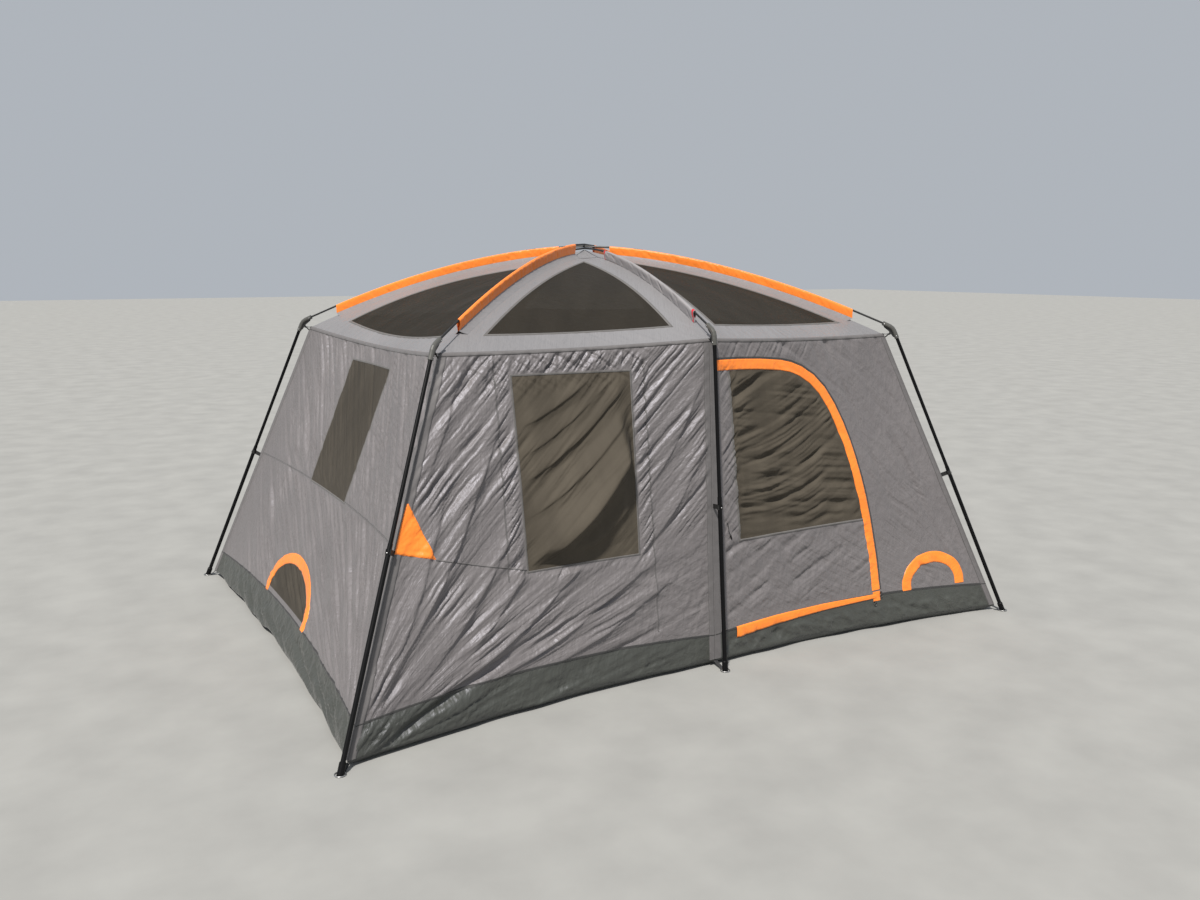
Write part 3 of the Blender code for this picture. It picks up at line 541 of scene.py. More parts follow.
class Shader:
    """A material's node tree with short calls to add and join nodes."""

    def __init__(self, name):
        self.material = bpy.data.materials.new(name)
        self.material.use_nodes = True
        self.nodes = self.material.node_tree.nodes
        self.links = self.material.node_tree.links
        self.main = self.nodes["Principled BSDF"]
        self.out = self.nodes["Material Output"]

    def add(self, kind, values=None, **settings):
        node = self.nodes.new(kind)
        for name, value in settings.items():
            setattr(node, name, value)
        for name, value in (values or {}).items():
            self.put(node.inputs[name], value)
        return node

    def put(self, socket, value):
        if isinstance(value, bpy.types.NodeSocket):
            self.links.new(value, socket)
        else:
            socket.default_value = value

    def fill(self, node, first, *values):
        """Sets a node's inputs in turn, from its input number first."""
        for i, value in enumerate(values):
            self.put(node.inputs[first + i], value)
        return node

    def set(self, **values):
        for name, value in values.items():
            self.put(self.main.inputs[name.replace("_", " ")], value)

    def math(self, operation, a, b=0.0, c=0.0):
        node = self.add("ShaderNodeMath", operation=operation)
        return self.fill(node, 0, a, b, c).outputs[0]

    def range(self, value, low, high, to_low, to_high):
        return self.fill(
            self.add("ShaderNodeMapRange"), 0, value, low, high, to_low, to_high
        ).outputs[0]

    def place(self):
        return self.add("ShaderNodeTexCoord").outputs["Object"]

    def cloth(self, layer="cloth"):
        return self.add("ShaderNodeUVMap", uv_map=layer).outputs[0]

    def scaled(self, vector, scale):
        return self.add("ShaderNodeMapping", {"Vector": vector, "Scale": scale}).outputs[0]

    def noise(self, vector, scale, detail=2.0, roughness=0.5):
        values = {"Vector": vector, "Scale": scale, "Detail": detail, "Roughness": roughness}
        return self.add("ShaderNodeTexNoise", values).outputs["Fac"]

    def mixed(self, share, first, second):
        node = self.add("ShaderNodeMix", {0: share}, data_type="RGBA")
        return self.fill(node, 6, first, second).outputs[2]

    def bump(self, height, distance, strength=1.0, under=None):
        values = {"Height": height, "Distance": distance, "Strength": strength}
        if under is not None:
            values["Normal"] = under
        return self.add("ShaderNodeBump", values).outputs[0]


def color(rgb, factor=1.0):
    return (*(min(1.0, c * factor) for c in rgb), 1.0)


# Scales of the textures, and metres from one stitch to the next
WEAVE_SCALE = 260.0
MESH_SCALE = 210.0
CRINKLE_SCALE = 26.0
STITCH_PITCH = 0.006
# Where most of a noise's values lie, from 0 to 1
NOISE_SPAN = (0.3, 0.7)


def weave_height(shader, cloth, scale=WEAVE_SCALE):
    """Plain weave: threads across over threads along."""
    values = {"Vector": cloth, "Scale": scale}
    waves = [
        shader.add("ShaderNodeTexWave", values, bands_direction=direction).outputs["Fac"]
        for direction in ("X", "Y")
    ]
    return shader.math("MULTIPLY", *waves)


def crinkle_height(shader, cloth):
    """Fine creases: the borders of warped cells at two sizes."""
    values = {"Vector": cloth, "Scale": CRINKLE_SCALE / 3, "Detail": 2.0}
    warp = shader.add("ShaderNodeTexNoise", values).outputs["Color"]
    shifted = shader.fill(
        shader.add("ShaderNodeVectorMath", operation="MULTIPLY_ADD"), 0,
        warp, (0.06, 0.06, 0.06), shader.scaled(cloth, (1.0, 0.6, 1.0)),
    ).outputs[0]
    parts = []
    for factor, weight in ((1.0, 0.65), (2.7, 0.35)):
        values = {"Vector": shifted, "Scale": CRINKLE_SCALE * factor, "Exponent": 1.4}
        settings = {"feature": "F1", "distance": "MINKOWSKI"}
        cells = shader.add("ShaderNodeTexVoronoi", values, **settings)
        parts.append(shader.math("MULTIPLY", cells.outputs["Distance"], weight))
    return shader.math("ADD", *parts)


def crease_height(shader, across, along):
    """Long narrow creases that run with the pulled folds; higher numbers make them finer."""
    vector = shader.scaled(shader.cloth("pull"), (across, along, 1.0))
    wave = shader.noise(vector, 1.0, 3.0, 0.6)
    ridge = shader.math("ABSOLUTE", shader.math("SUBTRACT", wave, 0.5))
    return shader.range(ridge, 0.0, 0.22, 1.0, 0.0)


def cloth_material(name, base, vary=0.06, roughness=(0.30, 0.46), crinkle=0.0013, creases=1.5,
                   gloss=0.45):
    """Coated woven cloth: base colour, patchy gloss, weave, fine creases and soft sheen."""
    shader = Shader(name)
    cloth = shader.cloth()
    cloud = shader.noise(shader.place(), 2.3, 3.0)
    thread = shader.noise(shader.scaled(cloth, (1.0, 0.02, 1.0)), 600.0, 1.0)
    light, dark = color(base, 1 + vary), color(base, 1 - vary)
    tone = shader.mixed(shader.range(cloud, *NOISE_SPAN, 0, 1), dark, light)
    weave = weave_height(shader, cloth)
    fine = shader.mixed(shader.math("MULTIPLY", weave, 0.10), tone, color(base, 0.6))
    fine = shader.mixed(shader.range(thread, 0.35, 0.65, 0, 0.05), fine, light)
    patch = shader.noise(cloth, 9.0, 3.0)
    bump = shader.bump(weave, 0.00012, 0.5)
    bump = shader.bump(crinkle_height(shader, cloth), crinkle, 1.0, bump)
    bump = shader.bump(crease_height(shader, 60.0, 5.0), 0.0012 * creases, 1.0, bump)
    bump = shader.bump(crease_height(shader, 24.0, 2.6), 0.0022 * creases, 1.0, bump)
    shader.set(
        Base_Color=fine, Normal=bump, Sheen_Weight=0.1, Sheen_Roughness=0.4,
        Roughness=shader.range(patch, *NOISE_SPAN, *roughness), Specular_IOR_Level=gloss,
        Specular_Tint=color((0.86, 0.87, 1.0)),
    )
    return shader.material


def mesh_material(name, base, cover):
    """Fine insect mesh: threads with holes between them, seen at a distance as a dark veil.

    Its dark base colour is partly the mesh's own colour and partly painted shade of the dark
    inside of the tent seen through it.
    """
    shader = Shader(name)
    cloth = shader.cloth()
    threads = weave_height(shader, cloth, MESH_SCALE)
    broad = shader.noise(shader.scaled(cloth, (1.0, 0.25, 1.0)), 7.0, 3.0)
    # Base tone: partly the mesh's own colour, partly painted shade of the dark inside behind it
    tone = shader.mixed(shader.range(broad, 0.35, 0.65, 0, 1), color(base), color(base, 1.25))
    shader.set(
        Base_Color=tone, Roughness=0.75, Specular_IOR_Level=0.15,
        Normal=shader.bump(threads, 0.0002, 0.4),
    )
    clear = shader.add("ShaderNodeBsdfTransparent").outputs[0]
    share = shader.range(threads, 0.0, 1.0, min(1.0, cover + 0.05), cover - 0.05)
    veil = shader.fill(shader.add("ShaderNodeMixShader"), 0, share, clear, shader.main.outputs[0])
    shader.put(shader.out.inputs["Surface"], veil.outputs[0])
    return shader.material


def stitched_material(name, base, stitch, across):
    """Folded tape with rows of stitches; across gives the rows as lengths over its width."""
    shader = Shader(name)
    cloth = shader.cloth()
    parts = shader.add("ShaderNodeSeparateXYZ", {"Vector": cloth})
    along, over = parts.outputs["X"], parts.outputs["Y"]
    rows = None
    for row_at in across:
        gap = shader.math("ABSOLUTE", shader.math("SUBTRACT", over, row_at))
        row = shader.range(gap, 0.0008, 0.0016, 1.0, 0.0)
        rows = row if rows is None else shader.math("MAXIMUM", rows, row)
    beat = shader.math("FRACT", shader.math("DIVIDE", along, STITCH_PITCH))
    stitches = shader.math("MULTIPLY", rows, shader.range(beat, 0.62, 0.72, 1.0, 0.0))
    patch = shader.noise(cloth, 30.0, 3.0)
    tone = shader.mixed(shader.range(patch, *NOISE_SPAN, 0, 1), color(base, 0.86), color(base))
    tone = shader.mixed(stitches, tone, color(stitch))
    raised, sunk = shader.math("MULTIPLY", patch, 0.6), shader.math("MULTIPLY", rows, 0.5)
    bump = shader.bump(weave_height(shader, cloth), 0.00015, 0.5)
    bump = shader.bump(shader.math("SUBTRACT", raised, sunk), 0.0016, 0.8, bump)
    shader.set(
        Base_Color=tone, Normal=bump, Sheen_Weight=0.1, Specular_IOR_Level=0.4,
        Roughness=shader.range(patch, *NOISE_SPAN, 0.5, 0.7),
    )
    return shader.material


def webbing_material(name, base, light):
    """Narrow woven webbing with ribs across it."""
    shader = Shader(name)
    place_at = shader.place()
    values = {"Vector": place_at, "Scale": 160.0}
    ribs = shader.add("ShaderNodeTexWave", values, bands_direction="Z").outputs["Fac"]
    wear = shader.noise(place_at, 40.0, 3.0)
    shader.set(
        Base_Color=shader.mixed(shader.range(wear, 0.45, 0.75, 0, 0.6), color(base), color(light)),
        Roughness=shader.range(wear, *NOISE_SPAN, 0.55, 0.8),
        Normal=shader.bump(ribs, 0.0004, 0.6), Sheen_Weight=0.2,
    )
    return shader.material


def painted_material(name, base, roughness, scuff=(0.10, 0.10, 0.10), coat=0.0, gloss=0.4):
    """Powder coat or moulded plastic: fine orange peel, patchy gloss and pale scuffs."""
    shader = Shader(name)
    place_at = shader.place()
    peel = shader.noise(place_at, 900.0, 2.0)
    patch = shader.noise(place_at, 14.0, 4.0)
    marks = shader.noise(shader.scaled(place_at, (1.0, 1.0, 0.12)), 120.0, 5.0, 0.7)
    worn = shader.range(marks, 0.62, 0.72, 0.0, 0.5)
    shader.set(
        Base_Color=shader.mixed(worn, color(base), color(scuff)),
        Roughness=shader.range(patch, *NOISE_SPAN, roughness - 0.08, roughness + 0.1),
        Normal=shader.bump(peel, 0.00015, 0.5), Specular_IOR_Level=gloss, Coat_Weight=coat,
    )
    return shader.material


def metal_material(name, base, roughness):
    """Bare or cast metal: fine grain and darker patches."""
    shader = Shader(name)
    place_at = shader.place()
    grain = shader.noise(place_at, 1200.0, 2.0)
    patch = shader.noise(place_at, 60.0, 3.0)
    shader.set(
        Base_Color=shader.mixed(
            shader.range(patch, 0.4, 0.7, 0, 1), color(base), color(base, 0.6)
        ),
        Metallic=1.0, Roughness=shader.range(patch, *NOISE_SPAN, roughness, roughness + 0.15),
        Normal=shader.bump(grain, 0.0001, 0.4),
    )
    return shader.material


def make_materials():
    grey, black = (0.03, 0.03, 0.03), (0.014, 0.014, 0.014)
    return {
        "wall": cloth_material(
            "wall cloth", (0.142, 0.131, 0.131), roughness=(0.42, 0.56), crinkle=0.0036,
            creases=0.5, gloss=0.64,
        ),
        "roof": cloth_material("roof cloth", (0.19, 0.186, 0.192), crinkle=0.0030, creases=0.4),
        "tub": cloth_material(
            "tub cloth", (0.050, 0.053, 0.045), roughness=(0.38, 0.52), crinkle=0.0050,
            creases=0.4, gloss=0.6,
        ),
        # One mesh in three tones: each dark base is partly the mesh's own colour and partly painted
        # shade of the dark inside seen through it, darkest on the roof
        "mesh": mesh_material("window mesh with painted shade", (0.062, 0.053, 0.041), 0.945),
        "roof_mesh": mesh_material("roof mesh with painted shade", (0.021, 0.018, 0.014), 0.86),
        "vent_mesh": mesh_material("vent mesh with painted shade", (0.050, 0.044, 0.036), 0.92),
        "orange": cloth_material("orange cloth", (0.93, 0.235, 0.028), vary=0.10, crinkle=0.0026),
        "grey_sleeve": cloth_material("grey sleeve cloth", (0.25, 0.24, 0.245), crinkle=0.0016),
        "tape": stitched_material("grey seam tape", (0.128, 0.121, 0.123), grey, (0.002, 0.032)),
        "binding": stitched_material(
            "window binding", (0.13, 0.123, 0.12), (0.06, 0.06, 0.06), (0.004,)
        ),
        "dark_tape": stitched_material("dark tape", grey, (0.09, 0.09, 0.09), (0.004,)),
        "red": stitched_material("red binding", (0.62, 0.012, 0.03), (0.3, 0.01, 0.02), (0.004,)),
        "webbing": webbing_material(
            "black webbing", (0.012, 0.012, 0.013), (0.0316, 0.0316, 0.0334)
        ),
        "leg": painted_material(
            "black powder coat", (0.003, 0.003, 0.0035), 0.46, (0.008, 0.008, 0.008), gloss=0.16
        ),
        "elbow": painted_material(
            "elbow paint", (0.075, 0.074, 0.068), 0.34, (0.2, 0.2, 0.19), coat=0.3
        ),
        "rod": painted_material("black glass fibre", (0.014, 0.014, 0.015), 0.45),
        "plastic": painted_material("black plastic", black, 0.42),
        "steel": metal_material("bright steel", (0.62, 0.62, 0.62), 0.28),
        "zip_metal": metal_material("dark cast metal", (0.16, 0.16, 0.16), 0.35),
    }


# Folds of each wall

def cloth_size(wall):
    """Width of a wall half way up, and its height along the slope."""
    middle = wall_point(wall, np.array((0.0, 1.0)), np.array((0.5, 0.5)))
    edge = seam_head(WALLS[wall][0]) - seam_foot(WALLS[wall][0])
    return float(np.linalg.norm(middle[1] - middle[0])), float(np.linalg.norm(edge))


def wall_plane(wall, s, t):
    """Places on a wall flattened out: metres to the right from its low left corner, and up."""
    start, end = WALLS[wall]
    base = seam_foot(end) - seam_foot(start)
    low, high = np.linalg.norm(base), np.linalg.norm(seam_head(end) - seam_head(start))
    shift = (seam_head(start) - seam_foot(start)) @ unit(base)
    return shift * t + (low + (high - low) * t) * s, cloth_size(wall)[1] * t


NOISES = {name: Noise(seed) for seed, name in enumerate(
    ("broad", "medium", "fine", "tiny", "pucker", "crumple", "sag", "skirt"), start=3
)}

# The low corner each wall is pulled from, towards the high corner across it
PULLS = {"front_left": "low left", "right_end": "low left", "back_left": "low left"}
OTHER_PULL = "low right"
# Slopes of the broad, medium, fine and tiny folds
FOLD_SLOPES = {
    "front_left": (0.36, 0.36, 0.40, 0.30),
    "front_right": (0.08, 0.10, 0.06, 0.03),
    "right_end": (0.12, 0.16, 0.12, 0.06),
    "back_right": (0.14, 0.17, 0.12, 0.06),
    "back_left": (0.16, 0.20, 0.14, 0.06),
    "left_end": (0.28, 0.48, 0.62, 0.44),
}
# Half width of a fold in metres, how long it runs and how sharp its crest is, for the four sizes
FOLD_CELLS = {
    "broad": (0.060, 1.3, 0.25),
    "medium": (0.030, 0.80, 0.4),
    "fine": (0.016, 0.42, 0.6),
    "tiny": (0.0095, 0.20, 0.7),
}
TAPE_WIDTH = 0.038


# How far beyond the high corner each wall's folds would meet
PULL_BEYOND = {"front_left": (2.5, 0.4)}
OTHER_BEYOND = (0.75, 0.35)
# How far outside the low corner they meet, across and down
PULL_OUTSIDE = (0.03, 0.06)


def pull_corners(wall):
    u, v = wall_plane(wall, np.array((0.0, 1.0, 1.0, 0.0)), np.array((0.0, 0.0, 1.0, 1.0)))
    over, up = PULL_BEYOND.get(wall, OTHER_BEYOND)
    aside, down = PULL_OUTSIDE
    if PULLS.get(wall, OTHER_PULL) == "low left":
        return (u[0] - aside, v[0] - down), (u[2] + over, v[2] + up)
    return (u[1] + aside, v[1] - down), (u[3] - over, v[3] + up)


def wall_seed(wall, step=17.3):
    return list(WALLS).index(wall) * step


def pull_places(wall, s, t):
    """Each place's arc and length along it in the pulled folds of a wall."""
    tension = Tension(*wall_plane(wall, s, t), *pull_corners(wall))
    return np.stack((tension.arc + wall_seed(wall), tension.run), -1)


def hump(value, middle, width):
    return np.exp(-((value - middle) / width) ** 2)


def puckers(distance, along, spacing, reach, depth, seed):
    """Short wrinkles square to a seam, strongest a little way off it."""
    near = hump(distance, 0.0, reach) * smoothstep(0.0, 0.010, np.abs(distance))
    wave = NOISES["pucker"](along / spacing + seed, distance / (reach * 1.6) + seed * 3.1)
    return depth * near * creased(wave, 0.4)


OPENINGS = {
    "front_left": (Outline(rectangle(FRONT_WINDOW)),),
    "front_right": (Outline(door_outline()), Outline(arch(HATCH))),
    "left_end": (Outline(rectangle(END_WINDOW)), Outline(arch(END_VENT))),
    "right_end": (Outline(rectangle(END_WINDOW)),),
    "back_right": (),
    "back_left": (),
}
# The door's band, and its mesh window: low and high z, x of its left edge at them, and how far
# it goes under the band
BAND_WIDTH = 0.055
DOOR_MESH_Z = (0.64, 1.525)
DOOR_MESH_LEFT = (0.184, 0.133)
DOOR_MESH_TUCK = 0.025


def door_mesh_outline():
    low, high = DOOR_MESH_Z
    arc_x, arc_z = door_arc(DOOR_RIGHT - BAND_WIDTH + DOOR_MESH_TUCK, high)
    kept = arc_z > low
    start = [(DOOR_MESH_LEFT[0], low), (np.interp(low, arc_z, arc_x), low)]
    return np.array([*start, *zip(arc_x[kept], arc_z[kept]), (DOOR_MESH_LEFT[1], high)])


DOOR_MESH = Outline(door_mesh_outline())


def wall_relief(wall, s, t):
    """Height of a wall's folds over its smooth sheet, in metres."""
    s, t = np.asarray(s, float), np.asarray(t, float)
    shape = s.shape
    s, t = s.ravel(), t.ravel()
    u, v = wall_plane(wall, s, t)
    width, height = cloth_size(wall)
    where = wall_place(wall, s, t)
    seed = wall_seed(wall)
    side, top = np.minimum(s, 1 - s) * width, (1 - t) * height
    calm = 0.75 if wall == "left_end" else 0.3
    total = fold_family(Tension(u, v, *pull_corners(wall), seed), FOLD_SLOPES[wall], calm)
    if wall in RELIEFS:
        total = RELIEFS[wall](total, u, v, where, top)
    total = total + crumple("crumple", u + seed, v, 0.08, 0.0006)
    total = total + puckers(top, u, 0.030, 0.07, 0.0022, seed)
    mask = smoothstep(0.0, TAPE_WIDTH + 0.02, side) * smoothstep(0.0, 0.03, top)
    low = smoothstep(0.0, 0.05, v)
    mask = mask * (1 - 0.6 * hump(v, 0.15, 0.05)) * (0.35 + 0.65 * low)
    for outline in OPENINGS[wall]:
        mask = mask * (1 - 0.8 * hump(outline.measure(where)[0], 0.0, 0.022))
    return (total * mask).reshape(shape)


# Big folds across the front window: from and to (x, z), half widths above and below, and depth
WINDOW_FOLDS = (
    ((-1.03, 0.655), (-0.44, 1.22), 0.150, 0.320, 0.096),
    ((-1.03, 0.645), (-0.44, 1.18), 0.070, 0.085, 0.042),
    ((-1.06, 0.88), (-0.46, 1.34), 0.055, 0.080, 0.022),
    ((-1.08, 1.04), (-0.46, 1.48), 0.055, 0.060, 0.024),
    ((-1.08, 1.16), (-0.50, 1.54), 0.040, 0.045, 0.014),
    ((-1.08, 1.30), (-0.56, 1.58), 0.045, 0.050, 0.016),
    ((-0.85, 0.66), (-0.44, 0.92), 0.045, 0.045, 0.014),
)


# Broad folds under the window and left of it, the same way
WALL_FOLDS = (
    ((-1.62, 0.16), (-0.72, 0.66), 0.085, 0.055, 0.024),
    ((-1.44, 0.33), (-1.03, 0.67), 0.060, 0.050, 0.018),
    ((-1.36, 0.18), (-0.43, 0.56), 0.075, 0.050, 0.022),
    ((-1.08, 0.17), (-0.30, 0.47), 0.065, 0.045, 0.016),
    ((-1.83, 0.25), (-1.15, 1.27), 0.070, 0.050, 0.020),
    ((-1.88, 0.20), (-1.44, 0.98), 0.050, 0.040, 0.014),
    ((-1.70, 0.20), (-1.06, 0.90), 0.055, 0.045, 0.016),
    ((-1.60, 1.02), (-1.28, 1.58), 0.045, 0.035, 0.012),
    ((-0.40, 0.95), (-0.06, 1.45), 0.060, 0.045, 0.015),
    ((-0.42, 0.66), (-0.05, 1.12), 0.055, 0.040, 0.013),
)


def placed_fold(where, start, end, above, below, depth):
    """One fold along a slightly bent line, with a steep lip on its lower side."""
    start, end = np.array(start), np.array(end)
    way = end - start
    length = np.hypot(*way)
    way = way / length
    along = (where - start) @ way / length
    beside = (where - start) @ np.array((-way[1], way[0]))
    beside = beside + 0.05 * length * np.sin(math.pi * np.clip(along, 0, 1))
    beside = beside - 0.012 * NOISES["sag"](along * 3, 0.5)
    fade = smoothstep(-0.05, 0.05, along) * smoothstep(1.15, 0.90, along)
    fade = fade * (0.25 + 0.75 * smoothstep(0.0, 0.5, along))
    below = below * np.clip(0.2 + 1.2 * along, 0.2, 1)
    drop = 0.45 * hump(beside, 0.0, 0.12 * below) + 0.55 * np.clip(1 + beside / below, 0, 1)
    return depth * fade * np.where(beside > 0, hump(beside, 0.0, above), drop)


def fold_family(tension, slopes, calm=0.3):
    """Folds of the four sizes along a tension's arcs, with a slope for each size."""
    total = 0.0
    for (name, (cell, stretch, kink)), slope in zip(FOLD_CELLS.items(), slopes):
        total = total + tension.folds(NOISES[name], cell, stretch, slope, kink, calm)
    return total


def pleats(u, v, degrees, seed, slopes, calm=0.3):
    """Folds of the four sizes that run straight over a wall at an angle."""
    way = 60.0 * np.array((math.cos(math.radians(degrees)), math.sin(math.radians(degrees))))
    return fold_family(Tension(u, v, -way, way, seed), slopes, calm)


def front_left_relief(total, u, v, where, top):
    distance = OPENINGS["front_left"][0].measure(where)[0]
    x, z = where.T
    share = smoothstep(0.50, 0.95, z + 0.18 * smoothstep(-0.9, -0.4, x))
    steep = pleats(u, v, 46, 5.0, (0.26, 0.44, 0.42, 0.26))
    total = total * (1 - share) + steep * share
    # Gathers between the window and the seams beside it
    beside = smoothstep(0.0, 0.01, distance) * smoothstep(0.11, 0.07, distance)
    beside = beside * smoothstep(0.55, 0.66, z)
    total = total + beside * pleats(u, v, 52, 9.0, (0.0, 0.3, 0.75, 0.30), 0.7)
    # Low on the right the folds give way to short creases that run every way
    right = smoothstep(-0.75, -0.30, x) * smoothstep(0.75, 0.50, z)
    loose = crumple("crumple", u, v, 0.11, 0.0070, 0.6) + crumple("tiny", u, v, 0.05, 0.0030, -0.4)
    total = total * (1 - 0.65 * right) + right * loose
    total = total * (1 - 0.55 * smoothstep(0.0, 0.03, -distance))
    for folds, place_share in (
        (WINDOW_FOLDS, smoothstep(0.004, 0.10, -distance)),
        (WALL_FOLDS, smoothstep(0.0, 0.04, distance)),
    ):
        for fold in folds:
            total = total + place_share * placed_fold(where, *fold)
    # Crossing creases under the eave
    eave = smoothstep(0.26, 0.10, top) * smoothstep(-0.25, -0.50, x)
    crossing = pleats(u, v, -38, 2.0, (0.0, 0.34, 0.30, 0.06), 0.6)
    upright = pleats(u, v, 78, 6.0, (0.0, 0.22, 0.26, 0.06), 0.5)
    return total + (crossing + upright) * eave


def front_right_relief(total, u, v, where, _top):
    door, hatch = OPENINGS["front_right"]
    distance = door.measure(where)[0]
    outside, along = door.beyond(where)
    window = DOOR_MESH.measure(where)[0]
    x, z = where.T
    # The door's mesh sags in level folds that gather towards its lower right
    inside = smoothstep(0.0, 0.05, -window)
    rising = Tension(x, z, (-0.6, 1.15), (1.5, 2.1), 3.0)
    rising = fold_family(rising, (0.50, 0.40, 0.15, 0.06), 0.15)
    level = pleats(x, z, -8, 12.0, (0.30, 0.24, 0.08, 0.04), 0.1)
    total = total * (1 - inside) + inside * (rising + level)
    # Low panel of the door: a few soft creases that rise to the right, and some across them
    panel = smoothstep(0.0, 0.05, -distance) * smoothstep(0.0, 0.03, window)
    panel = panel * smoothstep(0.70, 0.60, z)
    soft = pleats(u, v, 27, 7.0, (0.20, 0.14, 0.12, 0.08), 0.05)
    soft = soft + pleats(u, v, -62, 8.0, (0.12, 0.08, 0.04, 0.0), 0.05)
    loose = crumple("crumple", u + 3, v, 0.12, 0.0060, 0.5) + crumple("tiny", u, v, 0.05, 0.0026)
    total = total + panel * (soft + loose)
    # Gathers: the strip beside the door's mesh, over the door, down to the right foot, one spot
    strip = smoothstep(0.0, 0.015, -distance) * smoothstep(0.20, 0.16, x)
    right = smoothstep(0.03, 0.12, distance) * (x > 0)
    for share, degrees, seed, slopes, calm in (
        (strip * smoothstep(0.62, 0.7, z), 48, 4.0, (0.0, 0.30, 0.60, 0.2), 0.5),
        (smoothstep(1.50, 1.60, z) * smoothstep(1.0, 0.5, x), 55, 6.5, (0.1, 0.3, 0.3, 0.12), 0.3),
        (right, -66, 8.5, (0.22, 0.18, 0.08, 0.02), 0.15),
        (hump(x, 1.42, 0.14) * hump(z, 0.74, 0.10), -35, 2.5, (0.05, 0.28, 0.24, 0.08), 0.6),
        (smoothstep(0.0, 0.05, -hatch.measure(where)[0]), -20, 5.5, (0.1, 0.22, 0.12, 0.05), 0.3),
    ):
        total = total + share * pleats(u, v, degrees, seed, slopes, calm)
    total = total + right * crumple("crumple", u + 9, v, 0.10, 0.0026, 0.3)
    uneven = 0.3 + NOISES["crumple"](along / 0.2, 3.0)
    total = total + puckers(outside, along, 0.027, 0.060, 0.0034, 9) * uneven
    return total + puckers(*hatch.beyond(where), 0.05, 0.08, 0.0022, 4)


def left_end_relief(total, u, v, where, _top):
    window, vent = OPENINGS["left_end"]
    distance, hole = window.measure(where)[0], vent.measure(where)[0]
    y, z = where.T
    upper = smoothstep(CLIP_Z, 0.98, z)
    slanted = pleats(u, v, -47, 4.5, (0.28, 0.46, 0.54, 0.34), 0.75)
    total = total * (1 - upper) + slanted * upper
    total = total * (0.12 + 0.88 * smoothstep(1.30, 0.70, y))
    total = total * (1 - 0.6 * smoothstep(0.0, 0.03, -distance))
    total = total + puckers(*window.beyond(where), 0.034, 0.05, 0.0030, 2)
    total = total * (1 - 0.7 * hump(z, CLIP_Z, 0.02)) * (1 - 0.9 * hump(hole, 0.0, 0.05))
    front = smoothstep(-0.33, -0.40, y) * smoothstep(0.85, 1.0, z)
    return total + front * pleats(u, v, -15, 7.5, (0.0, 0.10, 0.34, 0.2), 0.5)


RELIEFS = {
    "front_left": front_left_relief,
    "front_right": front_right_relief,
    "left_end": left_end_relief,
}


def wall_skin(wall, s, t, lift=0.0):
    """Points of a wall's cloth with its folds, raised by lift along its normal."""
    smooth = functools.partial(wall_point, wall)
    normal = normals_of(smooth, s, t, outward(wall) + 0.3 * UP)
    return smooth(s, t) + normal * (wall_relief(wall, s, t) + lift)[..., None]


# Wall pieces

class Cut(NamedTuple):
    """One piece of a wall: the node it stands for, its cloth, and where it is cut out."""

    name: str
    node: str
    material: str = "wall"
    outline: object = None
    corners: tuple = ()
    without: tuple = ()
    body: str = "root"


def measured_area(points, triangles):
    a, b, c = (points[triangles[:, i]] for i in range(3))
    return float(np.linalg.norm(np.cross(b - a, c - a), axis=1).sum() / 2)


def build_wall(wall, cuts, materials):
    """A wall's net with its folds, cut into pieces."""
    width, height = cloth_size(wall)
    points, triangles = even_net(width, height, NET.get(wall, PLAIN_NET) * COARSE)
    s = points[:, 0] / width
    floor = skirt_share(wall, s)
    t = floor + (1 - floor) * points[:, 1] / height
    places = wall_place(wall, s, t)
    inside = {
        cut.outline: fit_net(places, triangles, cut.outline, cut.outline.points[list(cut.corners)])
        for cut in cuts if cut.outline
    }
    s2, t2 = wall_shares(wall, *places.T)
    edge = (s < TINY) | (s > 1 - TINY) | (t > 1 - TINY)
    s, t = np.where(edge, s, s2), np.where(edge, t, t2)
    points, smooth = wall_skin(wall, s, t), wall_point(wall, s, t)
    uv, pull = np.stack(wall_plane(wall, s, t), -1), pull_places(wall, s, t)
    triangles = facing(points, triangles, outward(wall))
    for cut in cuts:
        chosen = inside[cut.outline] if cut.outline else np.ones(len(triangles), bool)
        for other in cut.without:
            chosen = chosen & ~inside[other]
        kept = triangles[chosen]
        material = materials[cut.material]
        obj = mesh_object(cut.name, points, kept, material, uv, pull=pull)
        place(obj, cut.body)
        if cut.node:
            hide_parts(cut.node)
        across, up = np.ptp(uv[np.unique(kept)], axis=0) + FLAT_SPARE
        area = round(measured_area(smooth, kept) * AREA_SPARE, 3)
        if area > round(across, 3) * round(up, 3):
            area = None


# What a sheet has over the net that is cut from it, for its seams
FLAT_SPARE = 0.01
AREA_SPARE = 1.01


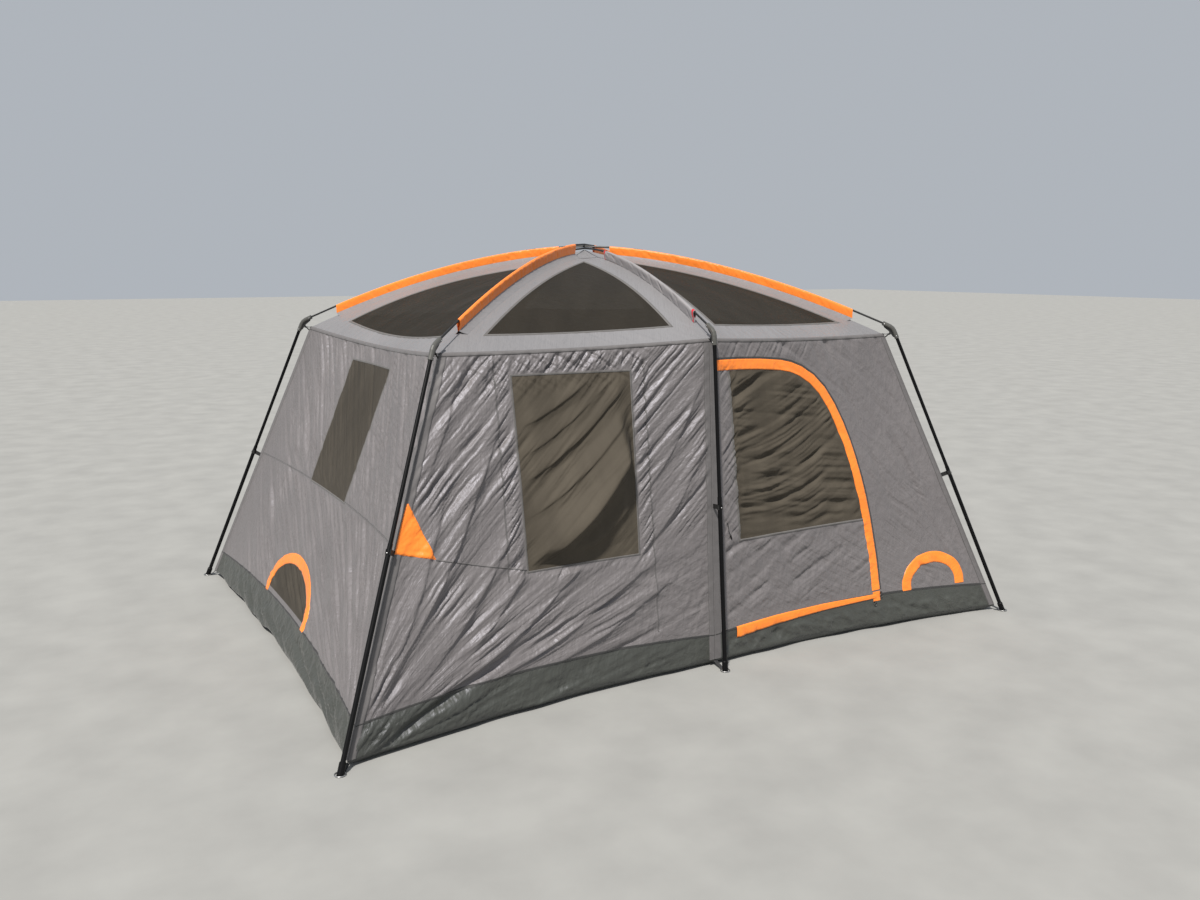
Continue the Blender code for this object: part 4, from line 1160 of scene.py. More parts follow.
def build_walls(materials):
    (front_window,), (right_window,) = OPENINGS["front_left"], OPENINGS["right_end"]
    left_window, vent = OPENINGS["left_end"]
    door, hatch = OPENINGS["front_right"]
    square, feet_and_top, feet = (0, 1, 2, 3), (0, 1, -1), (0, -1)
    walls = {
        "front_left": (
            Cut("wall_cloth_front_left", "wall_front_left", without=(front_window,)),
            Cut("window_mesh_front", "front_window", "mesh", front_window, square),
        ),
        "front_right": (
            Cut("wall_cloth_front_right", "wall_front_right", without=(door, hatch)),
            Cut("door_cloth", "door_panel", "wall", door, feet_and_top, (DOOR_MESH,), "door"),
            Cut("door_window_mesh", "", "mesh", DOOR_MESH, feet_and_top, body="door"),
            Cut("vent_flap_cloth", "vent_flap", "wall", hatch, feet, body="vent_flap"),
        ),
        "left_end": (
            Cut("wall_cloth_left_end", "wall_left_end", without=(left_window, vent)),
            Cut("window_mesh_left", "left_window", "vent_mesh", left_window, square),
            Cut("vent_mesh_left", "left_vent_mesh", "vent_mesh", vent, feet),
        ),
        "right_end": (
            Cut("wall_cloth_right_end", "wall_right_end", without=(right_window,)),
            Cut("window_mesh_right", "right_window", "mesh", right_window, square),
        ),
        "back_right": (Cut("wall_cloth_back_right", "wall_back_right"),),
        "back_left": (Cut("wall_cloth_back_left", "wall_back_left"),),
    }
    for wall, cuts in walls.items():
        build_wall(wall, cuts, materials)


# Roof

# Where the panels start, the run of an insert's base, the cloth strip beside it, how far its
# sides swell, and the depth of the folds in its eave band
ROOF_TOP_RUN = 0.006
MESH_EAVE_RUN = {"end": 0.905, "long": 0.90}
MESH_STRIP = {"end": 0.20, "long": 0.125}
MESH_SWELL = {"end": 0.055, "long": 0.012}
ROOF_FOLDS = {"end": 0.0032, "long": 0.0014}


def roof_kind(wall):
    return "end" if is_end(wall) else "long"


def grid_of(rows, columns):
    """Two arrays over a grid, each from (first, last, count)."""
    return np.meshgrid(np.linspace(*rows), np.linspace(*columns), indexing="ij")


def roof_size(wall):
    """Width of a roof panel at its eave, and its length from the top to the eave's middle."""
    start, end = WALLS[wall]
    width = np.linalg.norm(seam_head(end) - seam_head(start))
    run = np.linspace(0, 1, 60)
    middle = roof_point(wall, run, 0 * run + 0.5)
    return float(width), float(np.linalg.norm(np.diff(middle, axis=0), axis=1).sum())


def roof_outline(wall):
    width, depth = roof_size(wall)
    half, top = width / 2, ROOF_TOP_RUN
    corners = ((-half * top, top * depth), (half * top, top * depth), (half, depth), (-half, depth))
    return Outline(corners)


def roof_mesh_outline(wall):
    """Curved triangle of mesh, its sides beside the ridges and its base above the eave."""
    width, depth = roof_size(wall)
    kind = roof_kind(wall)
    base, strip = MESH_EAVE_RUN[kind] * depth, MESH_STRIP[kind]
    half = width / 2
    tilt = math.hypot(half, depth) / depth
    apex = strip * tilt * depth / half
    end = half * base / depth - strip * tilt
    share = np.linspace(0, 1, 13)
    swell = MESH_SWELL[kind] * np.sin(math.pi * share)
    side = np.stack((end * share + swell, apex + (base - apex) * share - swell * 0.4), -1)
    foot = np.stack((np.linspace(end, -end, 13)[1:-1], np.full(11, base)), -1)
    if kind == "end":
        foot[:, 1] += 0.03 * np.sin(np.linspace(0, math.pi, 13)[1:-1])
    other = side[::-1] * (-1, 1)
    return Outline(np.concatenate((side, foot, other[:-1])))


def roof_shares(wall, places):
    width, depth = roof_size(wall)
    run = np.clip(places[:, 1] / depth, 1e-6, 1)
    return run, np.clip(places[:, 0] / (run * width) + 0.5, 0, 1)


def roof_relief(wall, places):
    """Folds of a roof panel: pleats down its eave band, puckers beside its seams."""
    width, depth = roof_size(wall)
    run, _ = roof_shares(wall, places)
    tilt = math.hypot(width / 2, depth) / depth
    ridge = (width / 2 * run - np.abs(places[:, 0])) / tilt
    eave = depth - places[:, 1]
    outline = roof_mesh_outline(wall)
    mesh_edge = outline.measure(places)[0]
    seed = wall_seed(wall, 9.1)
    lean = -1.4 if wall == "front_left" else 0.45
    x, y = places[:, 0] + lean * places[:, 1], places[:, 1]
    medium = NOISES["medium"]
    waves = medium(x / 0.042 + seed, y / 0.30) + 0.5 * NOISES["fine"](x / 0.02 + seed, y / 0.2)
    band = smoothstep(0.0, 0.03, eave) * smoothstep(0.30, 0.10, eave)
    band = band * smoothstep(-0.002, 0.02, mesh_edge)
    total = ROOF_FOLDS[roof_kind(wall)] * 1.6 * waves * band
    total = total + puckers(ridge, y + x, 0.028, 0.05, 0.0022, seed)
    total = total + puckers(*outline.beyond(places), 0.03, 0.03, 0.0014, seed)
    hang = NOISES["broad"](places[:, 0] / 0.16 + seed, y / 0.5) * 0.010
    hang = hang + medium(x / 0.06 + seed, y / 0.3) * 0.003
    total = total + smoothstep(0.0, 0.15, -mesh_edge) * hang
    total = total + crumple("crumple", x + seed, y, 0.05, 0.0006)
    return total * smoothstep(0.0, 0.03, ridge) * smoothstep(0.0, 0.03, eave)


def roof_skin(wall, places, lift=0.0):
    """Points of a roof panel with its folds, raised by lift along its normal."""
    width, depth = roof_size(wall)

    def surface(p, q):
        run = np.clip(q / depth, 1e-6, 1.05)
        return roof_point(wall, run, p / (run * width) + 0.5)

    step = 0.004
    p, q = places[:, 0], np.clip(places[:, 1], 2 * step, None)
    across = surface(p + step, q) - surface(p - step, q)
    down = surface(p, q + step) - surface(p, q - step)
    normal = unit(np.cross(across, down))
    normal = normal * np.sign(normal[:, 2:3])
    raised = (roof_relief(wall, places) + lift)[:, None]
    return roof_point(wall, *roof_shares(wall, places)) + normal * raised


def build_roof(wall, materials):
    """A roof panel: a ring of cloth round its mesh."""
    width, depth = roof_size(wall)
    points, triangles = even_net(width, depth, ROOF_NET * COARSE)
    points[:, 0] -= width / 2
    outline, mesh = roof_outline(wall), roof_mesh_outline(wall)
    triangles = triangles[fit_net(points, triangles, outline, outline.points)]
    meshed = fit_net(points, triangles, mesh, mesh.points[[0, 12, 24]])
    skin = roof_skin(wall, points)
    triangles = facing(skin, triangles, UP)
    pull = points * (1.5, 0.5) + wall_seed(wall, 1)
    for part, chosen in (("cloth", ~meshed), ("mesh", meshed)):
        kept = triangles[chosen]
        material = materials["roof" if part == "cloth" else "roof_mesh"]
        obj = mesh_object(f"roof_{part}_{wall}", skin, kept, material, points, pull=pull)
        place(obj)
        if part == "cloth":
            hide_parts("roof_" + wall)


# Sewn trim: bands, tapes and bindings laid on the cloth

BAND_STEP = 0.008


def strip_places(path, offsets, closed=False):
    """Places beside a path in a plane, mitred at its corners: rows along it, columns across."""
    path = np.asarray(path, float)
    ahead = np.roll(path, -1, 0) - path
    behind = path - np.roll(path, 1, 0)
    if not closed:
        ahead[-1], behind[0] = behind[-1], ahead[0]
    ahead, behind = unit(ahead), unit(behind)
    first = np.stack((-behind[:, 1], behind[:, 0]), -1)
    second = np.stack((-ahead[:, 1], ahead[:, 0]), -1)
    mitre = (first + second) / (1 + (first * second).sum(1, keepdims=True))
    if closed:
        path, mitre = np.concatenate((path, path[:1])), np.concatenate((mitre, mitre[:1]))
    rows, lengths, run = [], [], 0.0
    for i in range(len(path) - 1):
        length = float(np.linalg.norm(path[i + 1] - path[i]))
        count = max(1, math.ceil(length / BAND_STEP))
        share = np.linspace(0, 1, count + 1)[: count + (i == len(path) - 2)]
        middle, over = (mix(line[i], line[i + 1], share)[:, None] for line in (path, mitre))
        rows.append(middle + over * np.asarray(offsets)[None, :, None])
        lengths.append(run + share * length)
        run += length
    return np.concatenate(rows), np.concatenate(lengths)


def strip_object(name, rows, along, offsets, material, towards):
    """Object from rows of points; its cloth is measured from the strip's first edge."""
    offsets = np.asarray(offsets, float)
    uv = np.stack(np.meshgrid(along, np.abs(offsets - offsets[0]), indexing="ij"), -1)
    return grid_object(name, rows, uv, material, towards)


def rounded_lift(offsets, lift, puff):
    """Lift of a strip over the cloth: down to it at both edges, and puffed between them."""
    offsets = np.asarray(offsets, float)
    share = (offsets - offsets[0]) / (offsets[-1] - offsets[0])
    edge = np.minimum(share, 1 - share) * 2
    return np.where(edge < TINY, EDGE_SINK, lift + puff * np.sqrt(np.clip(edge, 0, 1)))


def band_offsets(low, high, count):
    inner = np.linspace(low, high, count)
    edge = (high - low) * 0.02
    return np.concatenate(([low], [low + edge], inner[1:-1], [high - edge], [high]))


def wall_band(name, wall, path, edges, material, body="root", lift=TRIM_LIFT,
              puff=0.0014, ruffle=0.0, count=7, closed=False, taper=None):
    """Band sewn on a wall along a path of places; its edges lie this far beside the path."""
    offsets = band_offsets(*edges, count)
    places, along = strip_places(path, offsets, closed)
    if taper:
        middle = places[:, len(offsets) // 2][:, None]
        places = middle + (places - middle) * taper(along / along[-1])[:, None, None]
    s, t = wall_shares(wall, places[..., 0], places[..., 1])
    lifts = np.broadcast_to(rounded_lift(offsets, lift, puff), s.shape).copy()
    if ruffle:
        run, over = along[:, None], offsets[None]
        wave = NOISES["pucker"](run / 0.022 + len(name), over / 0.05)
        wave = wave + 0.6 * NOISES["crumple"](run / 0.010, over / 0.03 + 5)
        lifts[:, 1:-1] += (ruffle * creased(wave, 0.4) + ruffle)[:, 1:-1] * 0.7
    rows = wall_skin(wall, np.clip(s, 0, 1), t, lifts)
    return place(strip_object(name, rows, along, offsets, material, outward(wall)), body)


def seam_strip(name, surface, rows, offsets, lifts, material, towards):
    """Strip over a surface(row, offset, lift); rows are shares along it."""
    grid = surface(*np.broadcast_arrays(rows[:, None], offsets[None], lifts[None]))
    steps = np.linalg.norm(np.diff(grid[:, 0], axis=0), axis=1)
    along = np.concatenate(([0], np.cumsum(steps)))
    place(strip_object(name, grid, along, offsets, material, towards))


def corner_strip(station, material):
    """Reinforced seam that runs from base to eave behind a leg, over both walls beside it."""
    half = band_offsets(0.003, TAPE_WIDTH, 5)
    side = np.concatenate((-half[::-1], (0.0,), half))
    lifts = np.full(len(side), 0.0016)
    lifts[[0, -1]] = EDGE_SINK
    lifts[len(side) // 2] = 0.0035

    def surface(t, offset, lift):
        grids = []
        for wall, from_start in zip(walls_beside(station), (False, True)):
            low, high = wall_point(wall, 0 * t, t), wall_point(wall, 0 * t + 1, t)
            share = np.abs(offset) / np.linalg.norm(high - low, axis=-1)
            grids.append(wall_skin(wall, share if from_start else 1 - share, t, lift))
        return mix(*grids, 0.5 + 0.5 * np.sign(offset))

    rows = np.linspace(0.004, 0.992, 190)
    seam_strip(f"corner_tape_{station}", surface, rows, side, lifts, material,
               -inward(foot_point(station)))


def eave_strip(wall, material):
    """Lapped seam between a wall and its roof panel."""
    _, height = cloth_size(wall)
    width, depth = roof_size(wall)
    offsets = np.array((-0.014, -0.013, -0.007, 0.0, 0.006, 0.011, 0.012))
    lifts = np.array((EDGE_SINK, 0.0012, 0.0016, 0.0026, 0.0016, 0.0012, EDGE_SINK))

    def surface(s, offset, lift):
        low = wall_skin(wall, s, np.clip(1 + offset / height, 0, 1), lift)
        run = 1 - np.clip(offset, 0, 1) / depth
        places = np.stack((width * (s - 0.5) * run, run * depth), -1).reshape(-1, 2)
        high = roof_skin(wall, places, lift.ravel()).reshape(low.shape)
        return np.where((offset <= 0)[..., None], low, high)

    seam_strip(f"eave_seam_{wall}", surface, np.linspace(0, 1, 240), offsets, lifts, material,
               outward(wall) + UP)


def skirt_strip(wall, material):
    """Taped seam between a wall and the raised floor side."""
    _, height = cloth_size(wall)
    offsets = np.array((-0.007, -0.006, 0.0, 0.006, 0.007))
    lifts = np.array((EDGE_SINK, 0.0010, 0.0022, 0.0010, EDGE_SINK))

    def surface(s, offset, lift):
        return wall_skin(wall, s, skirt_share(wall, s) + offset / height, lift)

    seam_strip(f"skirt_seam_{wall}", surface, np.linspace(0, 1, 260), offsets, lifts, material,
               outward(wall))


def arc_path(vent, drop):
    """Path over an arched vent, from its right foot to its left one, with straight ends below."""
    path = arch(vent)
    return np.concatenate((path[:1] - (0, drop), path, path[-1:] - (0, drop)))


# Paths of the door's trim on its wall, the arch of the flap's band, the clip patch and the loop
DOOR_BAND_PATH = (
    (0.043, 1.585), (0.20, 1.582), (0.36, 1.574), (0.52, 1.559), (0.60, 1.542), (0.675, 1.516),
    (0.765, 1.465), (0.842, 1.395), (0.91, 1.300), (0.965, 1.196), (1.012, 1.085), (1.048, 0.972),
    (1.076, 0.868), (1.100, 0.762), (1.120, 0.640), (1.135, 0.512), (1.146, 0.415), (1.154, 0.315),
    (1.158, 0.228),
)
SILL_BAND_PATH = ((0.145, 0.152), (0.42, 0.172), (0.75, 0.186), (1.13, 0.192))
TAIL_PATH = ((1.158, 0.220), (1.161, 0.165))
FLAP_BAND = (1.55, 0.1925, 0.222, 0.145)
PATCH_CORNERS = ((-1.600, 1.045), (-1.705, 0.832), (-1.497, 0.775))
TIE_PATH = ((0.098, 0.742), (0.104, 0.722), (0.100, 0.700), (0.108, 0.676), (0.112, 0.668))


def build_bands(materials):
    orange, binding, tape = materials["orange"], materials["binding"], materials["tape"]
    front = "front_right"
    wall_band("door_band", front, DOOR_BAND_PATH, (-BAND_WIDTH, 0.0), orange, body="door",
              ruffle=0.0016, count=9)
    wall_band("door_zip_tape", front, DOOR_BAND_PATH, (0.0, 0.011), materials["dark_tape"],
              puff=0.0004)
    wall_band("sill_band", front, SILL_BAND_PATH, (-0.030, 0.030), orange, ruffle=0.0016,
              lift=0.0030, taper=lambda share: 1.0 - 0.62 * share)
    wall_band("door_band_tail", front, TAIL_PATH, (-0.050, 0.0), orange, ruffle=0.0010)
    band = wall_band("vent_flap_band", front, arc_path(FLAP_BAND, 0.028), (-0.032, 0.032), orange,
                     ruffle=0.0014)
    band.parent = None
    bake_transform(band)
    wall_band("vent_band_left", "left_end", arc_path(END_VENT, 0.03), (-0.028, 0.028), orange,
              ruffle=0.0014)
    for side, wall, window in (
        ("front", "front_left", FRONT_WINDOW),
        ("left", "left_end", END_WINDOW),
        ("right", "right_end", END_WINDOW),
    ):
        wall_band("window_binding_" + side, wall, rectangle(window), (-0.006, 0.003), binding,
                  puff=0.0006, count=4, closed=True)
    frame_path = np.concatenate((DOOR_MESH.points[-1:], DOOR_MESH.points[:2]))
    wall_band("door_window_binding", front, frame_path, (-0.010, 0.003), binding,
              "door", puff=0.0012, count=4)
    for name, wall, path in SEAMS:
        wall_band(name, wall, path, (-0.004, 0.004), tape, lift=0.0006,
                  puff=0.0008, count=4)
    patch(orange)


# Faint sewn seams: name, wall and the places (along it, z) that they run through
SEAMS = (
    ("seam_left_window_back", "left_end", ((1.34, 0.85), (0.335, 0.845))),
    ("seam_left_window_front", "left_end", ((-0.335, 0.845), (-1.34, 0.85))),
    ("seam_clip_front", "front_left", ((-1.50, 0.775), (-1.28, 0.715), (-1.05, 0.66))),
    ("seam_window_left", "front_left", ((-1.125, 1.62), (-1.135, 1.1), (-1.15, 0.62))),
    ("seam_window_right", "front_left", ((-0.365, 1.60), (-0.355, 0.9), (-0.34, 0.24))),
    ("seam_right_window_front", "right_end", ((-1.34, 0.85), (-0.335, 0.845))),
    ("seam_right_window_back", "right_end", ((0.335, 0.845), (1.34, 0.85))),
)


def patch(material):
    """Orange reinforcement where the front left clip's webbing is sewn on."""
    wall, corners = "front_left", np.array(PATCH_CORNERS)
    points, triangles = even_net(*np.ptp(corners, axis=0), TRIM_NET * COARSE)
    points = points + corners.min(0)
    outline = Outline(corners)
    inside = fit_net(points, triangles, outline, corners)
    distance = -outline.measure(points)[0]
    s, t = wall_shares(wall, *points.T)
    beside = points - corners[1]
    angle, reach = np.arctan2(beside[:, 1], beside[:, 0]), np.hypot(*beside.T)
    crease = creased(NOISES["fine"](angle / 0.16, reach / 0.3), 0.6)
    crease = crease * smoothstep(0.0, 0.03, distance)
    hem = 0.0012 * smoothstep(0.022, 0.020, distance)
    lift = np.where(distance < 1e-5, EDGE_SINK, 0.0044 + hem + 0.0030 * crease)
    skin = wall_skin(wall, np.clip(s, 0, 1), t, lift)
    faces = facing(skin, triangles[inside], outward(wall))
    place(mesh_object("clip_patch_front_left", skin, faces, material, points))


def roof_binding(wall, material):
    """Binding round a roof panel's mesh."""
    offsets = band_offsets(-0.010, 0.004, 4)
    places, along = strip_places(roof_mesh_outline(wall).points, offsets, True)
    lifts = np.broadcast_to(rounded_lift(offsets, TRIM_LIFT, TRIM_LIFT), places.shape[:2])
    rows = roof_skin(wall, places.reshape(-1, 2), lifts.ravel()).reshape(*lifts.shape, 3)
    name = f"roof_mesh_binding_{wall}"
    place(strip_object(name, rows, along, offsets, material, UP))


# Pole sleeves

# Bore over the rod, how far down a corner sleeve shows, the spread of the cloth beside it, the
# bore's share of a sleeve's half, its centre under the rod's, and the depth of the wrinkles
SLEEVE_BORE_R = 0.0085
SLEEVE_DEPTH_SHARE = 0.86
HEM_SPREAD = 0.05
BORE_SHARE = 0.34
ROD_BELOW = -0.0025
SLEEVE_WRINKLE = {"corner": 0.0024, "mid": 0.0042}
# Metres of cloth from a sleeve's top to its hem, and along a whole rod
SLEEVE_HALF_WIDTH = 0.05
ROD_RUN = 1.8
# Cloth drawn up under the crossing rods: its run down the roof, and the height of its top
CROWN_REACH = 0.115
CROWN_Z = 2.144


def ridge_ratio(station):
    """Reach of a rod's end from the crossing, over the reach of the ridge below it."""
    elbow, head = elbow_point(station), seam_head(station)
    return np.linalg.norm(elbow[:2]) / np.linalg.norm(head[:2])


def sleeve_skin(station, run, side_share, wrinkle):
    """Points of a sleeve: run along the rod, side_share from -1 (left hem) over the top to 1."""
    rod = rod_point(station, run)
    elbow = elbow_point(station)
    hem = ridge_point(station, run * ridge_ratio(station))[..., 2] - rod[..., 2] + 0.001
    step = 1e-4
    slope = (rod_point(station, run + step) - rod_point(station, run - step))[..., 2]
    stretch = np.sqrt(1 + (slope / (np.linalg.norm(elbow[:2]) * 2 * step)) ** 2)
    side = np.cross(UP, -inward(elbow))
    turn = np.clip(np.abs(side_share) / BORE_SHARE, 0, 1) * math.pi / 2
    down = np.clip((np.abs(side_share) - BORE_SHARE) / (1 - BORE_SHARE), 0, 1)
    x = SLEEVE_BORE_R * np.sin(turn) * (1 - smoothstep(0.0, 1.0, down) * 0.78)
    y = (ROD_BELOW + SLEEVE_BORE_R * np.cos(turn)) * stretch
    y = np.where(down > 0, ROD_BELOW * stretch + (hem - ROD_BELOW * stretch) * down, y)
    over = (x + wrinkle) * np.sign(side_share)
    return rod + side * over[..., None] + UP * y[..., None]


def build_sleeve(station, materials):
    """Sleeve over a rod: deep and orange at the corners, grey with red ends in the middle."""
    corner = sides(station)[0] != 0
    start, kind = (SLEEVE_START, "corner") if corner else (CROWN_END, "mid")
    reach = SLEEVE_DEPTH_SHARE if corner else 1.0
    length = float(np.linalg.norm(elbow_point(station)[:2])) * (SLEEVE_END - start) * 1.05
    rows = round(length / (TRIM_NET * COARSE))
    run, share = grid_of((start, SLEEVE_END, rows), (-reach, reach, 33))
    along, down = (run - start) / (SLEEVE_END - start) * length, np.abs(share)
    seed = STATIONS.index(station) * 11.0 + np.where(share > 0, 50.0, 0.0)
    lean = along + SLEEVE_HALF_WIDTH * down * np.where(share > 0, 1, -1)
    wave = NOISES["pucker"](lean / 0.034 + seed, down * 1.2)
    wave = wave + 0.5 * NOISES["fine"](lean / 0.014 + seed, down * 2)
    ends = smoothstep(0.0, 0.02, along) * smoothstep(length, length - 0.02, along)
    hug = smoothstep(0.10, 0.45, down) * smoothstep(reach, reach - 0.06, down)
    depth = SLEEVE_WRINKLE[kind] * hug * (0.4 + 0.6 * ends)
    skin = sleeve_skin(station, run, share, depth * (creased(wave, 0.5) * 1.2 + 0.25))
    material, slot = ("orange", "orange_fabric") if corner else ("grey_sleeve", "grey_sleeve")
    uv = np.stack((along, SLEEVE_HALF_WIDTH * share), -1)
    obj = place(grid_object(f"sleeve_{station}", skin, uv, materials[material]))
    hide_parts("pole_sleeve_" + station)
    if corner:
        build_hem(station, materials["roof"])
        return
    for end, at in (("top", start + 0.004), ("low", SLEEVE_END - 0.012)):
        run, share = grid_of((at, at + 0.010, 4), (-1, 1, 33))
        tape = sleeve_skin(station, run, share, 0.0016) + UP * TRIM_LIFT
        uv = np.stack((SLEEVE_HALF_WIDTH * share, (run - at) * 1.2), -1)
        name = f"sleeve_tape_{end}_{station}"
        place(grid_object(name, tape, uv, materials["red"]))


def build_hem(station, material):
    """Grey cloth that spreads from a corner sleeve to the roof on both sides of it."""
    for wall, way, side in zip(walls_beside(station), (-1, 1), ("left", "right")):
        width, depth = roof_size(wall)
        run, share = grid_of((SLEEVE_START, SLEEVE_END, 150), (0, 1, 8))
        inner = sleeve_skin(station, run, 0 * run + way * SLEEVE_DEPTH_SHARE * 0.97, 0.0)
        low = run * ridge_ratio(station)
        across = way * (np.minimum(HEM_SPREAD, 0.3 * low * width) - low * width / 2)
        places = np.stack((across, low * depth), -1).reshape(-1, 2)
        outer = roof_skin(wall, places, TRIM_LIFT - 0.0020 * (share.ravel() == 1))
        outer = outer.reshape(inner.shape)
        drop = (inner - outer)[..., 2] * 0.9 * share * (1 - share)
        wave = NOISES["fine"](run * ROD_RUN / 0.05 + 7 + way, share * 1.5)
        wave = wave * 0.0016 * np.sin(math.pi * share)
        skin = mix(inner, outer, share) + UP * (wave - drop)[..., None]
        uv = np.stack((run * ROD_RUN, share * HEM_SPREAD), -1)
        name = f"sleeve_hem_{side}_{station}"
        place(grid_object(name, skin, uv, material, UP))


def build_crown(wall, material):
    """Cloth of the roof's top, drawn up to just below the crossing rods."""
    run, t = grid_of((0.0, CROWN_REACH, 12), (0, 1, 12))
    rise = (CROWN_Z - ROOF_TOP_Z) * (1 - run / CROWN_REACH) ** 1.6 + TRIM_LIFT
    point = roof_point(wall, run, t) + UP * rise[..., None]
    name = f"crown_cloth_{wall}"
    place(grid_object(name, point, point[..., :2], material, UP))


# Small hardware

SIDES = 12
RIVET_R = 0.0034
# How far a rivet stands out of its tube in all, and where it sits along each tube
RIVET_PROUD = 0.004
ROD_RIVET_AT = 0.056
LEG_RIVET_AT = 0.052
# Gusset of an elbow: its reach along each tube and its thickness
GUSSET_REACH = 0.052
GUSSET_THICK = 0.005
# Wire of hooks, rings and the door's loop, and the rings that it is bent to
WIRE_R = 0.0022
HOOK_R = 0.0085
FOOT_RING_R = 0.0235
SNAP_R = 0.0036
TOGGLE_R = 0.0042
# Half width of the webbing at the elbows and at the feet
ELBOW_WEBBING = 0.008
FOOT_WEBBING = 0.011


def sweep(name, path, radius, material, squash=1.0, closed=False):
    """Round or flattened bar along a path; squash is the section's height over its width."""
    path = np.asarray(path, float)
    ahead = np.roll(path, -1, 0) - np.roll(path, 1, 0)
    if not closed:
        ahead[0], ahead[-1] = path[1] - path[0], path[-1] - path[-2]
    ahead = unit(ahead)
    guide = UP if abs(ahead[:, 2]).mean() < 0.8 else np.array((1.0, 0.0, 0.0))
    side = unit(np.cross(ahead, guide))
    over = np.cross(side, ahead)
    angles = np.linspace(0, 2 * math.pi, SIDES, endpoint=False)[None, :, None]
    ring = side[:, None] * np.cos(angles) + over[:, None] * np.sin(angles) * squash
    points = (path[:, None] + ring * radius).reshape(-1, 3)
    faces = grid_faces(len(path), SIDES, closed=True).tolist()
    first = np.arange(SIDES)
    last = len(points) - SIDES + first
    if closed:
        faces += np.stack((last, np.roll(last, -1), np.roll(first, -1), first), -1).tolist()
    else:
        for rim, tip in ((first, len(points)), (last, len(points) + 1)):
            faces += np.stack((rim, np.roll(rim, -1), np.full(SIDES, tip)), -1).tolist()
        points = np.concatenate((points, path[:1], path[-1:]))
    mesh = bpy.data.meshes.new(name)
    mesh.from_pydata(points.tolist(), [], faces)
    mesh.validate()
    mesh.shade_smooth()
    mesh.materials.append(material)
    return place(new_object(name, mesh))


def ring_path(centre, axis_a, axis_b, radius, count=20):
    angles = np.linspace(0, 2 * math.pi, count, endpoint=False)[:, None]
    return centre + radius * (axis_a * np.cos(angles) + axis_b * np.sin(angles))


def rivet(name, centre, direction, length, material):
    """Domed pin through a tube."""
    shares = np.array((-0.5, -0.46, -0.4, 0.4, 0.46, 0.5))
    path = centre + direction * (shares * length)[:, None]
    sweep(name, path, RIVET_R, material)


def plate(name, corners, thickness, material):
    """Flat plate with the given outline."""
    corners = np.asarray(corners, float)
    normal = unit(np.cross(corners[1] - corners[0], corners[2] - corners[0]))
    low, high = corners - normal * thickness / 2, corners + normal * thickness / 2
    count = len(corners)
    faces = [tuple(range(count))[::-1], tuple(range(count, 2 * count))]
    faces += [(i, (i + 1) % count, count + (i + 1) % count, count + i) for i in range(count)]
    mesh = bpy.data.meshes.new(name)
    mesh.from_pydata(np.concatenate((low, high)).tolist(), [], faces)
    mesh.materials.append(material)
    obj = new_object(name, mesh)
    bevel = obj.modifiers.new("edges", "BEVEL")
    bevel.width, bevel.segments = 0.0008, 2
    place(obj)


def build_hardware(station, materials):
    elbow, head = elbow_point(station), seam_head(station)
    leg, inside = leg_axis(station), inward(elbow)
    side = unit(np.cross(UP, inside))
    rod = unit(rod_point(station, 0.93) - rod_point(station, 1.0))
    steel, plastic, webbing = (materials[name] for name in ("steel", "plastic", "webbing"))
    # Gusset in the bend, with rivets through both of its tubes
    inner = unit(rod - leg)
    core = elbow + inner * 0.010
    outline = (core, core - leg * GUSSET_REACH, core - leg * 0.050 + inside * 0.010,
               core + inner * 0.020, core + rod * 0.048 - UP * 0.010, core + rod * GUSSET_REACH)
    plate(f"elbow_gusset_{station}", outline, GUSSET_THICK, plastic)
    for end, at in (("rod", elbow + rod * ROD_RIVET_AT), ("leg", elbow - leg * LEG_RIVET_AT)):
        rivet(f"elbow_rivet_{end}_{station}", at, side, ELBOW_D + RIVET_PROUD, steel)
    # Webbing from the sewn corner, and its hook over the gusset
    eye = core + inner * 0.016 - leg * 0.012
    shares = np.linspace(-0.25, 0.72, 8)
    strap = mix(head + UP * 0.004, eye, shares) - UP * 0.004 * np.sin(math.pi * shares)[:, None]
    sweep(f"corner_webbing_{station}", strap, ELBOW_WEBBING, webbing, 0.22)
    hook = ring_path(eye, inner, UP, HOOK_R)
    sweep(f"corner_hook_{station}", hook, WIRE_R, plastic, closed=True)
    # Snap on the clip's webbing
    foot = foot_point(station)
    button = foot + leg * (CLIP_Z / leg[2]) - inside * (LOWER_LEG_D / 2 + 0.0034)
    dome = button - inside * np.array((0.0, 0.0010, 0.0022))[:, None]
    sweep(f"clip_snap_{station}", dome, SNAP_R, steel)
    # Webbing and ring at the foot
    centre = foot + UP * 0.0045
    ring = ring_path(centre, inside, side, FOOT_RING_R, 28)
    sweep(f"foot_ring_{station}", ring, WIRE_R, steel, closed=True)
    tail = mix(seam_foot(station) - UP * 0.004, centre + inside * 0.0225, np.linspace(-0.1, 1, 6))
    sweep(f"foot_webbing_{station}", tail, FOOT_WEBBING, webbing, 0.16)


def build_tie(materials):
    """Short sewn loop and its toggle, which hold the door when it is rolled up."""
    places = np.array(TIE_PATH)
    s, t = wall_shares("front_right", *places.T)
    path = wall_skin("front_right", s, t, np.array((0.001, 0.006, 0.005, 0.006, 0.006)))
    sweep("door_tie", path, WIRE_R, materials["webbing"])
    toggle = path[-2:] + (path[-1] - path[-2]) * ((0.0,), (1.5,))
    sweep("door_toggle", toggle, TOGGLE_R, materials["plastic"])


# Raised floor sides and floor

HEM_SCALLOP = 0.022
FLOOR_LIFT = 0.0012
# Metres of the tub's cloth above its base fold, and in all
TUB_RISE = 0.14
TUB_DEPTH = 0.25
SEEN_WALLS = ("front_left", "front_right", "left_end")


